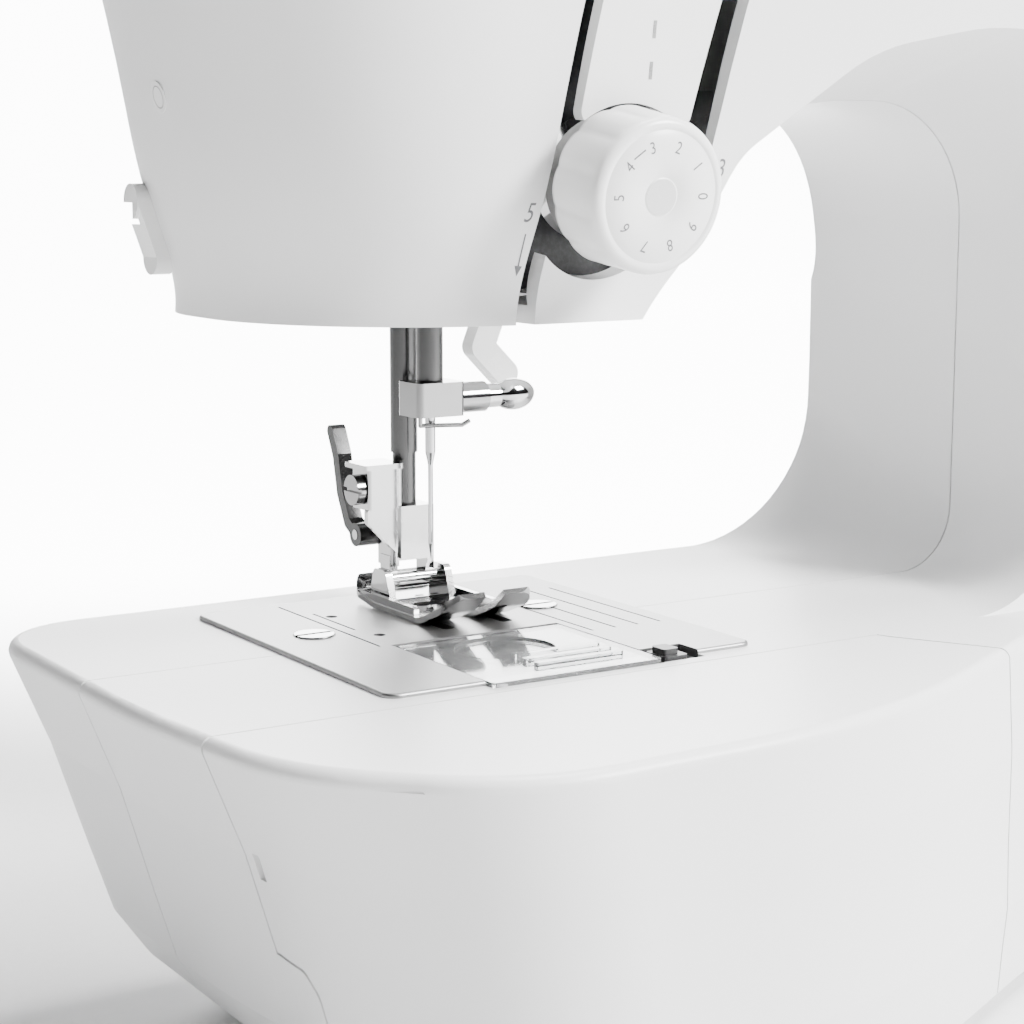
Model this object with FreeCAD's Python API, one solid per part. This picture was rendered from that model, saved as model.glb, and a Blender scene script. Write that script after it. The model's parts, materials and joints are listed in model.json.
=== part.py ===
"""Free-arm household sewing machine, built as an assembly of separate pieces.

Millimetres, +Z up. The design is drawn round the needle: X = 0, Y = 0 is the
needle's axis, Z = 0 is the top of the needle plate, +X runs to the column and
+Y runs away from the sewer. Every piece is moved at export, so that the whole
machine stands on Z = 0 with its outline centred on the origin.
"""
import FreeCAD, Part
import math
import os

V = FreeCAD.Vector

# ---------------------------------------------------------------- driving sizes
SHIFT = V(-97.5, 35.85, 73.5)       # design frame to the row's frame

WALL = 3.0                          # casing wall
FIT = 0.3                           # gap between curved faces that pass each other
RUN = 0.05                          # radial gap of a shaft in its bush
SEAM_Y = -16.5                      # joint between the front and rear casings
TRAY_Y = -59.7                      # joint between the free arm and the tray
TRAY_LEDGE = -37.0                  # the tray's back steps forward below this
TRAY_STEP = 8.3
TRAY_LEAN = 0.23                    # how far the tray's right end leans out per mm down
TRAY_GAP = 0.5                      # the tray stands this far off the free arm
FACE_BACK = 18.0                    # rear edge of the face cover
SEAM_W = 0.4                        # groove along each joint of the casing
SEAM_DEPTH = 0.9

BED_LEFT = -78.0                    # left end of the free arm
BED_BACK = 32.0
BODY_RIGHT = 250.0
BASE_BOTTOM = -70.0
PAN_TOP = -57.0                     # the base pan starts below this height
FOOT_DROP = 3.5                     # rubber feet below the pan

HEAD_BOTTOM = 57.5
ARM_TOP = 212.0
BED_TOP = -0.8                      # the plate stands this much proud of the bed
COVER_TOP = 190.0                   # the top cover starts above this height
COLUMN_X = 117.0                    # inner face of the column
LEAN = math.radians(8.5)            # front face leans towards the sewer

PLATE = (-40.0, 34.0, -55.0, 19.5)  # needle plate: left, right, front, back
PLATE_T = 1.6
COVER = (-21.5, 12.7, -57.0, -23.7)  # bobbin cover: left, right, front, back
COVER_T = 2.0

BAR_R = 2.45                        # needle bar
BAR_LOW = 41.6                      # lower end of the needle bar
PRESS_R = 2.6                       # presser bar
PRESS_Y = 10.0
CRANK_R = 15.0                      # half of the needle's stroke
CRANK_ANGLE = math.radians(56.0)    # crank from its top position at rest
ROD_LEN = 38.0
SHAFT_R = 5.0
SHAFT_Z = 160.0
LOWER_R = 4.0
LOWER_Z = -40.0
BELT_R = 14.0                       # both timing pulleys
BELT_X = (194.0, 202.0)
DRIVE_X = (208.0, 214.0)
DRIVE_R = 22.0
MOTOR_R = 25.0
MOTOR_AT = (-28.0, -27.0)           # Y, Z of the motor's shaft
MOTOR_PULLEY_R = 6.5

HOOK_AT = (-4.4, -33.5)             # X, Y of the hook's shaft
HOOK_R = 22.5
BOBBIN_R = 10.25
BOBBIN_H = 11.6
GEAR_GAP = 0.35

DIAL_AT = (2.5, 78.4)               # X, Z of the tension dial
DIAL_R = 12.8
DIAL_T = 12.0

WHEEL_R = 31.0
PATTERN_AT = (186.0, 112.0)         # X, Z of the pattern dial
PATTERN_R = 23.0


# ---------------------------------------------------------------------- helpers
def at_z(z):
    return lambda u, v: V(u, v, z)


def at_y(y):
    return lambda u, v: V(u, y, v)


def at_x(x):
    return lambda u, v: V(x, u, v)


def loop(corners, place):
    """Closed wire through (u, v, radius) corners, each rounded by its radius."""
    n = len(corners)
    ends = []
    for i in range(n):
        pu, pv, r = corners[i]
        p = V(pu, pv, 0)
        a = V(corners[i - 1][0], corners[i - 1][1], 0) - p
        b = V(corners[(i + 1) % n][0], corners[(i + 1) % n][1], 0) - p
        a.normalize()
        b.normalize()
        if r <= 0:
            ends.append((p, None, p))
            continue
        half = a.getAngle(b) / 2.0
        reach = r / math.tan(half)
        mid_dir = a + b
        mid_dir.normalize()
        mid = p + mid_dir * (r / math.sin(half) - r)
        ends.append((p + a * reach, mid, p + b * reach))
    edges = []
    for i in range(n):
        start, mid, end = ends[i]
        if mid is not None:
            pts = [place(q.x, q.y) for q in (start, mid, end)]
            edges.append(Part.Arc(*pts).toShape())
        nxt = ends[(i + 1) % n][0]
        if (nxt - end).Length > 1e-6:
            edges.append(Part.makeLine(place(end.x, end.y), place(nxt.x, nxt.y)))
    return Part.Wire(edges)


def slab(corners, place, push):
    return Part.Face(loop(corners, place)).extrude(push)


def box(x0, x1, y0, y1, z0, z1):
    return Part.makeBox(x1 - x0, y1 - y0, z1 - z0, V(x0, y0, z0))


def soft_box(x0, x1, y0, y1, z0, z1, r):
    corners = [(x0, y0, r), (x1, y0, r), (x1, y1, r), (x0, y1, r)]
    return slab(corners, at_z(z0), V(0, 0, z1 - z0))


def rod(r, p, q):
    p = V(*p)
    q = V(*q)
    return Part.makeCylinder(r, (q - p).Length, p, q - p)


def tube(r_out, r_in, p, q):
    return rod(r_out, p, q).cut(rod(r_in, p, q))


def join(*shapes):
    whole = shapes[0].fuse(list(shapes[1:]))
    return whole.removeSplitter()


def bar_path(points, width, thick, place_normal):
    """Flat bent strip through points, round ended, in the plane of its normal."""
    parts = []
    n = V(*place_normal)
    for p, q in zip(points[:-1], points[1:]):
        p = V(*p)
        q = V(*q)
        along = q - p
        side = n.cross(along)
        side.normalize()
        side = side * (width / 2.0)
        ring = [p + side, q + side, q - side, p - side, p + side]
        parts.append(Part.Face(Part.makePolygon(ring)).extrude(n * thick))
    for p in points:
        parts.append(Part.makeCylinder(width / 2.0, thick, V(*p), n))
    return join(*parts)


def soften(shape, radius, pick):
    """Round the picked edges; the plain shape is kept if they can't be rounded."""
    edges = [e for e in shape.Edges if pick(e)]
    if not edges:
        return shape
    try:
        rounded = shape.makeFillet(radius, edges)
    except Exception:
        return shape
    return rounded if rounded.isValid() and rounded.Volume > 0 else shape


def lie(edge, axis, value, tol=0.02):
    bb = edge.BoundBox
    low = getattr(bb, axis + "Min")
    high = getattr(bb, axis + "Max")
    return abs(low - value) < tol and abs(high - value) < tol


# --------------------------------------------------------------- casing outline
def base_section(z, left, front, back, right):
    """Plan outline of the base, drawn in by a different amount on each side."""
    plan = [(BED_LEFT, BED_BACK, 20), (254, 35, 22), (254, -66, 24), (103, -65, 150),
            (23, -105.0, 150), (-47, -107.2, 40), (-73.2, -80.5, 44), (BED_LEFT, -38, 190)]
    x0, x1, y0, y1 = BED_LEFT, 254.0, -106.8, 35.0
    sx = (x1 - right - x0 - left) / (x1 - x0)
    sy = (y1 - back - y0 - front) / (y1 - y0)
    moved = []
    for x, y, r in plan:
        moved.append((x0 + left + (x - x0) * sx, y0 + front + (y - y0) * sy, r * 0.88))
    return loop(moved, at_z(z))


def base_body(t):
    levels = [(BED_TOP - t, 0, 0, 0, 0), (-20.0, 7.6, 2.6, 1.8, 1.8), (-39.0, 13.2, 6, 4, 4),
              (-52.0, 17.2, 8, 5.6, 5.6), (-60.0, 22.5, 11.2, 8.2, 8.2), (BASE_BOTTOM + t, 36, 17, 14, 14)]
    wires = []
    for z, left, front, back, right in levels:
        extra = t if z > -59 else t * 1.15
        wires.append(base_section(z, left + extra, front + extra, back + extra, right + extra))
    body = Part.makeLoft(wires, True, True)
    if t == 0:
        body = soften(body, 1.9, lambda e: lie(e, "Z", BED_TOP))
    return body


def upper_body(t):
    """Head, arm and column top: plan outlines stacked from the head's bottom up."""
    levels = [(HEAD_BOTTOM, -49, -50.5, 30, 250, 40), (76, -53.4, -53.2, 30.5, 250, 41),
              (98, -58.4, -56.5, 31, 250, 42), (125, -64.0, -60.5, 31.5, 250, 42),
              (152, -68.6, -63.6, 32, 250, 42), (176, -71.0, -65.0, 32, 250, 41),
              (193, -69.8, -63.2, 31, 249, 39), (204, -65.5, -57.5, 27, 245, 36),
              (209.5, -59.5, -50.5, 21, 239, 32), (ARM_TOP, -50, -41, 12, 230, 26)]
    wires = []
    for i, (z, left, front, back, right, r) in enumerate(levels):
        if i == 0:
            z = z + t
        if i >= len(levels) - 3:
            z = z - t
        r = r - t
        corners = [(left + t, front + t, r), (right - t, front + t, r * 0.65),
                   (right - t, back - t, r * 0.65), (left + t, back - t, r * 0.8)]
        wires.append(loop(corners, at_z(z)))
    return Part.makeLoft(wires, True, False)


def column_body(t):
    levels = [(-6.0, -61.5, 31.5, 250, 20), (0.0, -58.5, 31.5, 250, 20), (8, -55, 31, 250, 21),
              (20, -52.2, 30.4, 250, 22), (40, -50.8, 30, 250, 24),
              (HEAD_BOTTOM + t, -50.5, 30, 250, 26)]
    wires = []
    for z, front, back, right, r in levels:
        corners = [(84 + t, front + t, 3), (right - t, front + t, r),
                   (right - t, back - t, r), (84 + t, back - t, 3)]
        wires.append(loop(corners, at_z(z)))
    return Part.makeLoft(wires, True, True)


def harp_section(y, top, foot_r, t):
    """Opening between head, arm, column and bed, at one depth."""
    k = (top - HEAD_BOTTOM) / (107.0 - HEAD_BOTTOM)
    arch = [(9.5, 54.0, 0), (19.8, 66.5, 6), (29.5, 85.0, 14), (57, 102.6, 40),
            (82, 107.0, 60)]
    side = COLUMN_X + t
    corners = [(40, BED_TOP - t, 0)]
    for x, z, r in arch:
        corners.append((x - t * 0.8, HEAD_BOTTOM + (z - HEAD_BOTTOM) * k + t * 0.6, r))
    corners.append((side, top + t, 24))
    corners.append((side, BED_TOP - t, foot_r))
    return loop(corners, at_y(y))


def harp(t):
    stations = [(-84.0, 115.4, 46), (SEAM_Y, 95.7, 13), (60.0, 97.5, 44)]
    wires = [harp_section(y, top, r, t) for y, top, r in stations]
    return Part.makeLoft(wires, True, True)


def envelope(t):
    upper = upper_body(t).fuse(column_body(t)).cut(harp(t))
    return upper.fuse(base_body(t))


def in_front(y):
    return box(-200, 400, -200, y, -100, 300)


def behind(y):
    return box(-200, 400, y, 200, -100, 300)


def above(z):
    return box(-200, 400, -200, 200, z, 300)


def below(z):
    return box(-200, 400, -200, 200, -100, z)


# left slot line, from the head's bottom to the take-up window
SLOT_LOW = (-11.3, 57.0)
SLOT_MID = (3.2, 150.0)
SLOT_TOP = (3.2, 196.0)
SLOT_W = 3.4
RIGHT_LOW = (21.0, 84.5)
RIGHT_TOP = (40.5, 180.0)


def face_region():
    left = SLOT_W / 2.0
    corners = [(-120, 40, 0), (SLOT_LOW[0] - left - 2.7, 40, 0), (SLOT_LOW[0] - left, SLOT_LOW[1], 0),
               (SLOT_MID[0] - left, SLOT_MID[1], 0), (SLOT_TOP[0] - left, 230, 0), (-120, 230, 0)]
    return slab(corners, at_y(-120), V(0, 120 + FACE_BACK, 0))


def channel_window():
    """Everything between the two thread slots, with room round the dial."""
    half = SLOT_W / 2.0
    x, z = DIAL_AT
    corners = [(SLOT_LOW[0] - half - 0.2, SLOT_LOW[1] - 1.2, 0), (SLOT_LOW[0] + half, SLOT_LOW[1] - 1.2, 0),
               (SLOT_LOW[0] + half + 2.6, 73.5, 0), (RIGHT_LOW[0] + 1.0, 73.5, 0),
               (RIGHT_LOW[0] + half, RIGHT_LOW[1], 0), (RIGHT_TOP[0] + half, RIGHT_TOP[1], 3),
               (RIGHT_TOP[0] - 8, SLOT_TOP[1] - 9, 6), (SLOT_TOP[0] + half, SLOT_TOP[1] - 9, 0),
               (SLOT_MID[0] - half, SLOT_TOP[1] - 9, 0), (SLOT_MID[0] - half, SLOT_MID[1], 0)]
    window = slab(corners, at_y(-90), V(0, 60, 0))
    dial_room = rod(DIAL_R + 1.4, (x, -90, z - 5.5), (x, -30, z + 3.5))
    return window.fuse(dial_room)


def channel_region():
    """The channel cover between the slots, arched over the dial."""
    half = SLOT_W / 2.0
    x, z = DIAL_AT
    corners = [(SLOT_LOW[0] + half + 5.3, 90.0, 2.2), (17.6, 89.4, 2.2),
               (RIGHT_TOP[0] - half - 1.2, RIGHT_TOP[1] - 2.4, 4), (RIGHT_TOP[0] - 10, SLOT_TOP[1] - 11.5, 4),
               (SLOT_TOP[0] + half, SLOT_TOP[1] - 11.5, 2), (SLOT_MID[0] + half, SLOT_MID[1], 0)]
    region = slab(corners, at_y(-90), V(0, 60, 0))
    arch = rod(DIAL_R + 2.4, (x + 3.2, -90, z - 5.5), (x + 3.2, -30, z + 3.5))
    return region.cut(arch)


def tray_region(gap):
    """Space of the accessory tray, pulled back by a gap from the free arm."""
    y = TRAY_Y - gap
    low = 90.0                      # the plan is drawn this far below the plate
    lean = TRAY_LEAN * low
    corners = [(-120, -50, 0), (58 - gap + lean, -50, 0), (58 - gap + lean, y, 16),
               (76.5 - gap + lean, -92, 40), (84 - gap + lean, -140, 0), (-120, -140, 0)]
    plan = slab(corners, at_z(-low), V(-TRAY_LEAN * 120, 0, 120))
    ledge = TRAY_LEDGE + gap
    foot = y - TRAY_STEP
    side = [(y, 30, 0), (y, ledge, 0), (foot + 1.6, ledge - 1.2, 1.5), (foot, ledge - 5, 3),
            (foot + 3, -low, 0), (-140, -low, 0), (-140, 30, 0)]
    return plan.common(slab(side, at_x(-120), V(260, 0, 0)))


# ---------------------------------------------------------------------- casings
def casings():
    outer = envelope(0.0)
    inner = envelope(WALL)
    shell = outer.cut(inner)
    made = {}

    # bottom: the lowest part of the shell is the pan
    tray_cut = tray_region(0.0)
    pan = shell.common(below(PAN_TOP))
    low_wall = outer.common(below(PAN_TOP)).common(tray_region(-2.2)).cut(tray_cut)
    pan = pan.cut(tray_cut).fuse(low_wall)

    upright = shell.common(above(PAN_TOP)).cut(tray_cut)
    arm_wall = outer.common(above(PAN_TOP)).common(below(0)).common(tray_region(-2.2)).cut(tray_cut)
    upright = upright.fuse(arm_wall)

    # tray: the base outline in front of the free arm, hollow and open at its back
    tray = outer.common(tray_region(TRAY_GAP)).common(below(1.0))
    hollow = base_body(2.6).common(tray_region(-6.0))
    ribs = join(box(-26.5, -24.5, -120, TRAY_Y - 8, -66, -3), box(28.5, 30.5, -120, TRAY_Y - 8, -66, -30))
    hollow_cut = hollow.common(box(-120, 66, -120, TRAY_Y + 2, -66.6, -2.6))
    finger_slot = soft_box(-90, -60, TRAY_Y - 4.4, TRAY_Y - 2.6, -23.6, -19.2, 0.8)
    finger_slot = finger_slot.cut(base_body(2.0))
    made["accessory_tray"] = tray.cut(hollow_cut.cut(ribs)).cut(finger_slot)

    # plate pocket and the windows below it
    left, right, front, back = PLATE
    pocket = soft_box(left, right, front, back, -PLATE_T, 5, 2.5)
    under = soft_box(left + 5, right - 5, front + 3.5, back - 4, -9, 0, 3)
    lid = box(COVER[0] - 0.3, COVER[1] + 0.3, COVER[2] - 0.3, front + 5, -COVER_T - 0.2, 5)
    tab_room = box(COVER[1] - 1, COVER[1] + 9.0, -57.0, -49.5, -9, 5)
    cuts = pocket.fuse([under, lid, tab_room])
    upright = upright.cut(cuts)

    # head bottom opening for the bars, the lamp and the lifter
    opening = soft_box(-35, 8.2, -26, 25, 50, 64, 7)
    lifter_slot = box(4, 47, 15.6, 21.4, 45, 84)
    upright = upright.cut(opening.fuse(lifter_slot))

    # handwheel shaft, power inlet, pattern dial and reverse lever pass the wall
    wheel_hole = rod(11.0, (230, 0, SHAFT_Z), (262, 0, SHAFT_Z))
    panel_hole = box(238, 262, -38.0, 12.0, -47.0, -17.0)
    dial_hole = rod(5.0, (PATTERN_AT[0], -80, PATTERN_AT[1]), (PATTERN_AT[0], -40, PATTERN_AT[1]))
    lever_hole = box(150.0, 166.0, -70, -40, 38.0, 66.0)
    upright = upright.cut(wheel_hole.fuse([panel_hole, dial_hole, lever_hole]))

    # shallow grooves where the mouldings meet
    rind = outer.cut(envelope(SEAM_DEPTH))
    lines = [box(-200, 400, SEAM_Y - SEAM_W, SEAM_Y, -58, 300),
             box(-200, 400, -200, 200, COVER_TOP - SEAM_W, COVER_TOP),
             box(-200, -20, FACE_BACK - SEAM_W, FACE_BACK, 40, COVER_TOP)]
    upright = upright.cut(rind.common(lines[1]))
    split_line = rind.common(lines[0])
    face_line = rind.common(lines[2])

    top = upright.common(above(COVER_TOP))
    rest = upright.common(below(COVER_TOP))
    face = rest.common(face_region())
    side = rest.cut(face_region())
    made["rear_cover"] = side.common(behind(SEAM_Y))
    made["front_cover"] = side.common(in_front(SEAM_Y)).cut(channel_window()).cut(split_line)
    made["face_cover"] = face.cut(face_line)
    made["base_pan"] = pan

    # channel cover: a 2.6 mm skin that follows the front face
    skin = outer.cut(envelope_front_skin(2.6))
    made["channel_cover"] = skin.common(channel_region()).common(in_front(-40))
    made["top_cover"] = top_cover(top)
    return made, outer, inner


def envelope_front_skin(t):
    return upper_body(t)


# carrying handle: a flat U let into the top cover
GRIP = (38.0, 138.0, -24.0, 4.0)    # left, right, front, pivot line
GRIP_W = 10.0
GRIP_Z = 206.0
SPOOL_X = (157.0, 207.0)
SPOOL_YZ = (-8.0, 208.0)
WINDER_AT = (226.0, -20.0)


def handle_shape(extra):
    left, right, front, pivot = GRIP
    e = extra
    legs = slab([(left - e, front - e, 6 + e), (right + e, front - e, 6 + e), (right + e, pivot + 4 + e, 3),
                 (right - GRIP_W - e, pivot + 4 + e, 3), (right - GRIP_W - e, front + GRIP_W + e, 3),
                 (left + GRIP_W + e, front + GRIP_W + e, 3), (left + GRIP_W + e, pivot + 4 + e, 3),
                 (left - e, pivot + 4 + e, 3)],
                at_z(GRIP_Z - 4 - e), V(0, 0, 9 + e * 4))
    return legs


def top_cover(top):
    left, right, front, pivot = GRIP
    well = soft_box(left - 2.2, right + 2.2, front - 2.2, pivot + 6.2, GRIP_Z - 8, 230, 7)
    well_wall = soft_box(left - 4.4, right + 4.4, front - 4.4, pivot + 8.4, GRIP_Z - 10.4, 210.5, 8)
    spool_well = rod(19.0, (SPOOL_X[0] - 6, SPOOL_YZ[0], SPOOL_YZ[1] + 4), (SPOOL_X[1] + 4, SPOOL_YZ[0], SPOOL_YZ[1] + 4))
    spool_wall = rod(21.4, (SPOOL_X[0] - 8.4, SPOOL_YZ[0], SPOOL_YZ[1] + 4), (SPOOL_X[1] + 6.4, SPOOL_YZ[0], SPOOL_YZ[1] + 4))
    inside = upper_body(0.6)
    added = well_wall.fuse(spool_wall).common(inside).common(above(COVER_TOP))
    winder_hole = rod(5.0, (WINDER_AT[0], WINDER_AT[1], 180), (WINDER_AT[0], WINDER_AT[1], 230))
    return top.fuse(added).cut(well.fuse([spool_well, winder_hole]))


# ------------------------------------------------------------ plate and cover
def needle_plate():
    left, right, front, back = PLATE
    plate = soft_box(left, right, front, back, -PLATE_T, 0, 2.5)
    plate = soften(plate, 0.5, lambda e: lie(e, "Z", 0.0))
    lid = box(COVER[0] - 0.3, COVER[1] + 0.3, COVER[2] - 2, COVER[3] + 0.3, -5, 5)
    tab_room = box(COVER[1] - 1, COVER[1] + 9.0, -60, -49.5, -5, 5)
    needle_hole = soft_box(-3.6, 3.6, -1.0, 1.0, -5, 5, 0.95)
    cuts = [tab_room, needle_hole]
    for x, y in PLATE_SCREWS:
        cuts.append(rod(2.2, (x, y, -5), (x, y, 5)))
        cuts.append(Part.makeCone(3.0, 3.9, 0.9, V(x, y, -0.9)))
    for x in FEED_ROWS:
        cuts.append(soft_box(x - 1.3, x + 1.3, -17.5, 13.5, -5, 5, 0.9))
    for i in range(4):
        cuts.append(guide_line(15.0 + 5.0 * i, -32.5, 5.0))
    cuts.append(guide_line(-24.0, -23.3, 16.6))
    cuts.append(guide_line(-21.3, -9.0, 7.6))
    for y in (-12.0, 6.5):
        cuts.append(rod(1.1, (-19.5, y - 3.0, -5), (-19.5, y - 3.0, 5)))
    return plate.cut(lid).cut(cuts[0].fuse(cuts[1:]))


PLATE_SCREWS = ((-29.5, -8.9), (18.8, -8.1))
FEED_ROWS = (-6.2, 6.2)


def guide_line(x, y0, y1):
    return box(x - 0.25, x + 0.25, y0, y1, -0.3, 1)


def plate_screws():
    made = []
    for i, (x, y) in enumerate(PLATE_SCREWS):
        head = Part.makeCone(2.9, 3.6, 0.8, V(x, y, -0.85))
        head = head.fuse(Part.makeCylinder(3.6, 0.35, V(x, y, -0.05)))
        slot = box(x - 5, x + 5, y - 0.5, y + 0.5, -0.45, 2)
        stem = rod(1.9, (x, y, -8.0), (x, y, -0.8))
        made.append(head.cut(slot).fuse(stem))
    return Part.makeCompound(made)


def bobbin_cover():
    left, right, front, back = COVER
    nose = (COVER_T - 0.05) / 2
    hinge_y, hinge_z = back - nose, -0.05 - nose
    cover = soft_box(left, right, front, back, -COVER_T, -0.05, 0.8)
    cover = cover.cut(box(left - 1, right + 1, hinge_y, back + 1, -9, 9))
    cover = cover.fuse(rod(nose, (left + 0.3, hinge_y, hinge_z), (right - 0.3, hinge_y, hinge_z)))
    ridges = []
    for i in range(3):
        y = front + 6.5 + i * 3.6
        ridges.append(soft_box(right - 22, right - 4, y - 0.7, y + 0.7, -0.2, 0.7, 0.6))
    dish = Part.makeCylinder(9.0, 2, V((left + right) / 2.0 - 1.5, back - 12.0, -0.75))
    return cover.cut(dish.common(box(left + 2, right - 2, front, back - 3, -5, 5))).fuse(ridges)


def release_tab():
    x = COVER[1]
    slide = soft_box(x + 0.9, x + 6.0, -56.3, -50.5, -3.4, -0.2, 0.7)
    grip = soft_box(x + 1.4, x + 4.6, -55.4, -51.4, -0.4, 0.9, 0.7)
    return slide.fuse(grip)


# ------------------------------------------------------- needle bar and its parts
def needle_bar():
    top = 187.0
    bar = rod(BAR_R, (0, 0, BAR_LOW), (0, 0, top))
    block = box(-4.6, 2.6, -4.6, 4.6, PIN_Z - 5, PIN_Z + 5)
    stud = rod(2.2, (0, 0, PIN_Z), (3.6, 0, PIN_Z))
    return join(bar, block, stud)


PIN_Z = SHAFT_Z + CRANK_R * math.cos(CRANK_ANGLE) - math.sqrt(
    ROD_LEN ** 2 - (CRANK_R * math.sin(CRANK_ANGLE)) ** 2)


def needle_clamp():
    block = soft_box(-4.9, 5.2, -4.4, 3.9, 37.0, 43.4, 1.2)
    bore = rod(BAR_R, (0, 0, BAR_LOW), (0, 0, 50))
    needle_hole = rod(1.0, (0, 0, 30), (0, 0, 41.0))
    screw_bore = rod(1.55, (1.6, 0, 39.0), (9, 0, 39.0))
    neck = rod(2.9, (5.0, 0, 39.9), (11.6, 0, 39.9))
    return block.fuse(neck).cut(bore.fuse([needle_hole, screw_bore, rod(1.55, (1.6, 0, 39.9), (14, 0, 39.9))]))


def clamp_screw():
    stem = rod(1.45, (2.2, 0, 39.9), (12.5, 0, 39.9))
    collar = rod(2.3, (11.9, 0, 39.9), (14.6, 0, 39.9))
    ball = Part.makeSphere(4.1, V(18.4, 0, 39.9))
    squash = FreeCAD.Matrix()
    squash.scale(1.12, 0.62, 0.74)
    ball.translate(V(-18.4, 0, -39.9))
    ball = ball.transformGeometry(squash)
    ball.translate(V(18.4, 0, 39.9))
    return join(stem, collar).fuse(ball)


def needle():
    shank = rod(0.98, (0, 0, 30.0), (0, 0, 40.6))
    flat = box(-2, 2, 0.62, 2, 30.0, 50)
    cone = Part.makeCone(0.48, 0.98, 2.4, V(0, 0, 27.6))
    blade = rod(0.48, (0, 0, 12.6), (0, 0, 27.6))
    point = Part.makeCone(0.06, 0.48, 2.9, V(0, 0, 9.75))
    whole = join(shank.cut(flat), cone, blade, point)
    eye = soft_box(-0.17, 0.17, -2, 2, 12.9, 14.9, 0.15)
    groove = box(-0.14, 0.14, -0.6, -0.34, 14.0, 27.0)
    return whole.cut(eye.fuse(groove))


def wire_run(points, r):
    """Round wire through points, with ball corners."""
    parts = []
    for p, q in zip(points[:-1], points[1:]):
        parts.append(rod(r, p, q))
    for p in points[1:-1]:
        parts.append(Part.makeSphere(r * 1.02, V(*p)))
    return parts[0].fuse(parts[1:])


def clamp_thread_guide():
    return wire_run([(-3.4, -2.2, 37.2), (-3.4, -2.2, 35.4), (4.8, -3.6, 35.2), (6.4, -3.6, 35.9)], 0.42)


def take_up_lever():
    x = SLOT_TOP[0] - 0.8
    body = bar_path([(x, -24, 152), (x, -50, 166), (x, -64, 171), (x, -73.5, 172.5)], 7.0, 1.6, (1, 0, 0))
    eye = rod(1.3, (x - 2, -74.0, 172.6), (x + 4, -74.0, 172.6))
    entry = box(x - 2, x + 4, -80, -74.0, 172.1, 173.1)
    hub = tube(5.2, 2.55, (x - 3.6, -24, 152), (x + 1.6, -24, 152))
    hole = rod(2.55, (x - 4, -24, 152), (x + 4, -24, 152))
    return body.fuse(hub).cut(eye.fuse([entry, hole]))


def needle_cradle():
    """Swinging frame that carries the needle bar for side-to-side stitches."""
    upright = box(-9.5, -5.6, -4.8, 4.8, 66.0, 186.0)
    lugs = []
    for z in (66.0, 176.0):
        lugs.append(box(-9.5, 3.4, -4.8, 4.8, z, z + 7.0))
    ear = rod(5.0, (-7.5, -4.8, 187.0), (-7.5, 4.8, 187.0))
    frame = join(upright, ear, *lugs)
    hole = rod(BAR_R + RUN, (0, 0, 60), (0, 0, 190))
    room = box(-5.0, 4, -5, 5, 73.0, 176.0)
    pivot = rod(2.05, (-7.5, -6, 187.0), (-7.5, 6, 187.0))
    cut_ear = rod(BAR_R + 1.2, (0, 0, 183.0), (0, 0, 195))
    return frame.cut(hole.fuse([room, pivot, cut_ear]))


# -------------------------------------------------------------- shafts and drive
def toothed(r, teeth, depth, p, q):
    wheel = rod(r, p, q)
    axis = V(*q) - V(*p)
    axis.normalize()
    ref = V(0, 0, 1) if abs(axis.z) < 0.5 else V(1, 0, 0)
    width = math.pi * r / teeth * 0.5
    notch = Part.makeCylinder(width, (V(*q) - V(*p)).Length + 2, V(*p) + ref * (r + width * 0.35) - axis, axis)
    cuts = []
    for i in range(teeth):
        c = notch.copy()
        c.rotate(V(*p), axis, 360.0 * i / teeth)
        cuts.append(c)
    return wheel.cut(cuts[0].fuse(cuts[1:]))


def main_shaft():
    shaft = rod(SHAFT_R, (14.5, 0, SHAFT_Z), (268.0, 0, SHAFT_Z))
    pulley = toothed(BELT_R, 28, 1, (BELT_X[0] + 0.6, 0, SHAFT_Z), (BELT_X[1] - 0.6, 0, SHAFT_Z))
    flanges = []
    for x in (BELT_X[0] - 0.8, BELT_X[1] - 0.6):
        flanges.append(rod(BELT_R + 3.2, (x, 0, SHAFT_Z), (x + 1.4, 0, SHAFT_Z)))
    big = rod(DRIVE_R, (DRIVE_X[0] + 0.4, 0, SHAFT_Z), (DRIVE_X[1] - 0.4, 0, SHAFT_Z))
    rims = []
    for x in (DRIVE_X[0] - 1.0, DRIVE_X[1] - 0.4):
        rims.append(rod(DRIVE_R + 2.2, (x, 0, SHAFT_Z), (x + 1.4, 0, SHAFT_Z)))
    return join(shaft, pulley, big, *(flanges + rims))


def crank():
    y = CRANK_R * math.sin(CRANK_ANGLE)
    z = SHAFT_Z + CRANK_R * math.cos(CRANK_ANGLE)
    disc = rod(18.5, (9.3, 0, SHAFT_Z), (14.5, 0, SHAFT_Z))
    hub = rod(9.0, (14.5, 0, SHAFT_Z), (19.5, 0, SHAFT_Z))
    pin = rod(2.6, (5.0, y, z), (9.3, y, z))
    wedge = slab([(-30, SHAFT_Z + 8, 0), (0, SHAFT_Z + 8, 2), (0, SHAFT_Z + 30, 0), (-30, SHAFT_Z + 30, 0)],
                 at_x(5), V(20, 0, 0))
    return join(disc.cut(wedge), hub, pin).cut(rod(SHAFT_R, (14.5, 0, SHAFT_Z), (30, 0, SHAFT_Z)))


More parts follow.
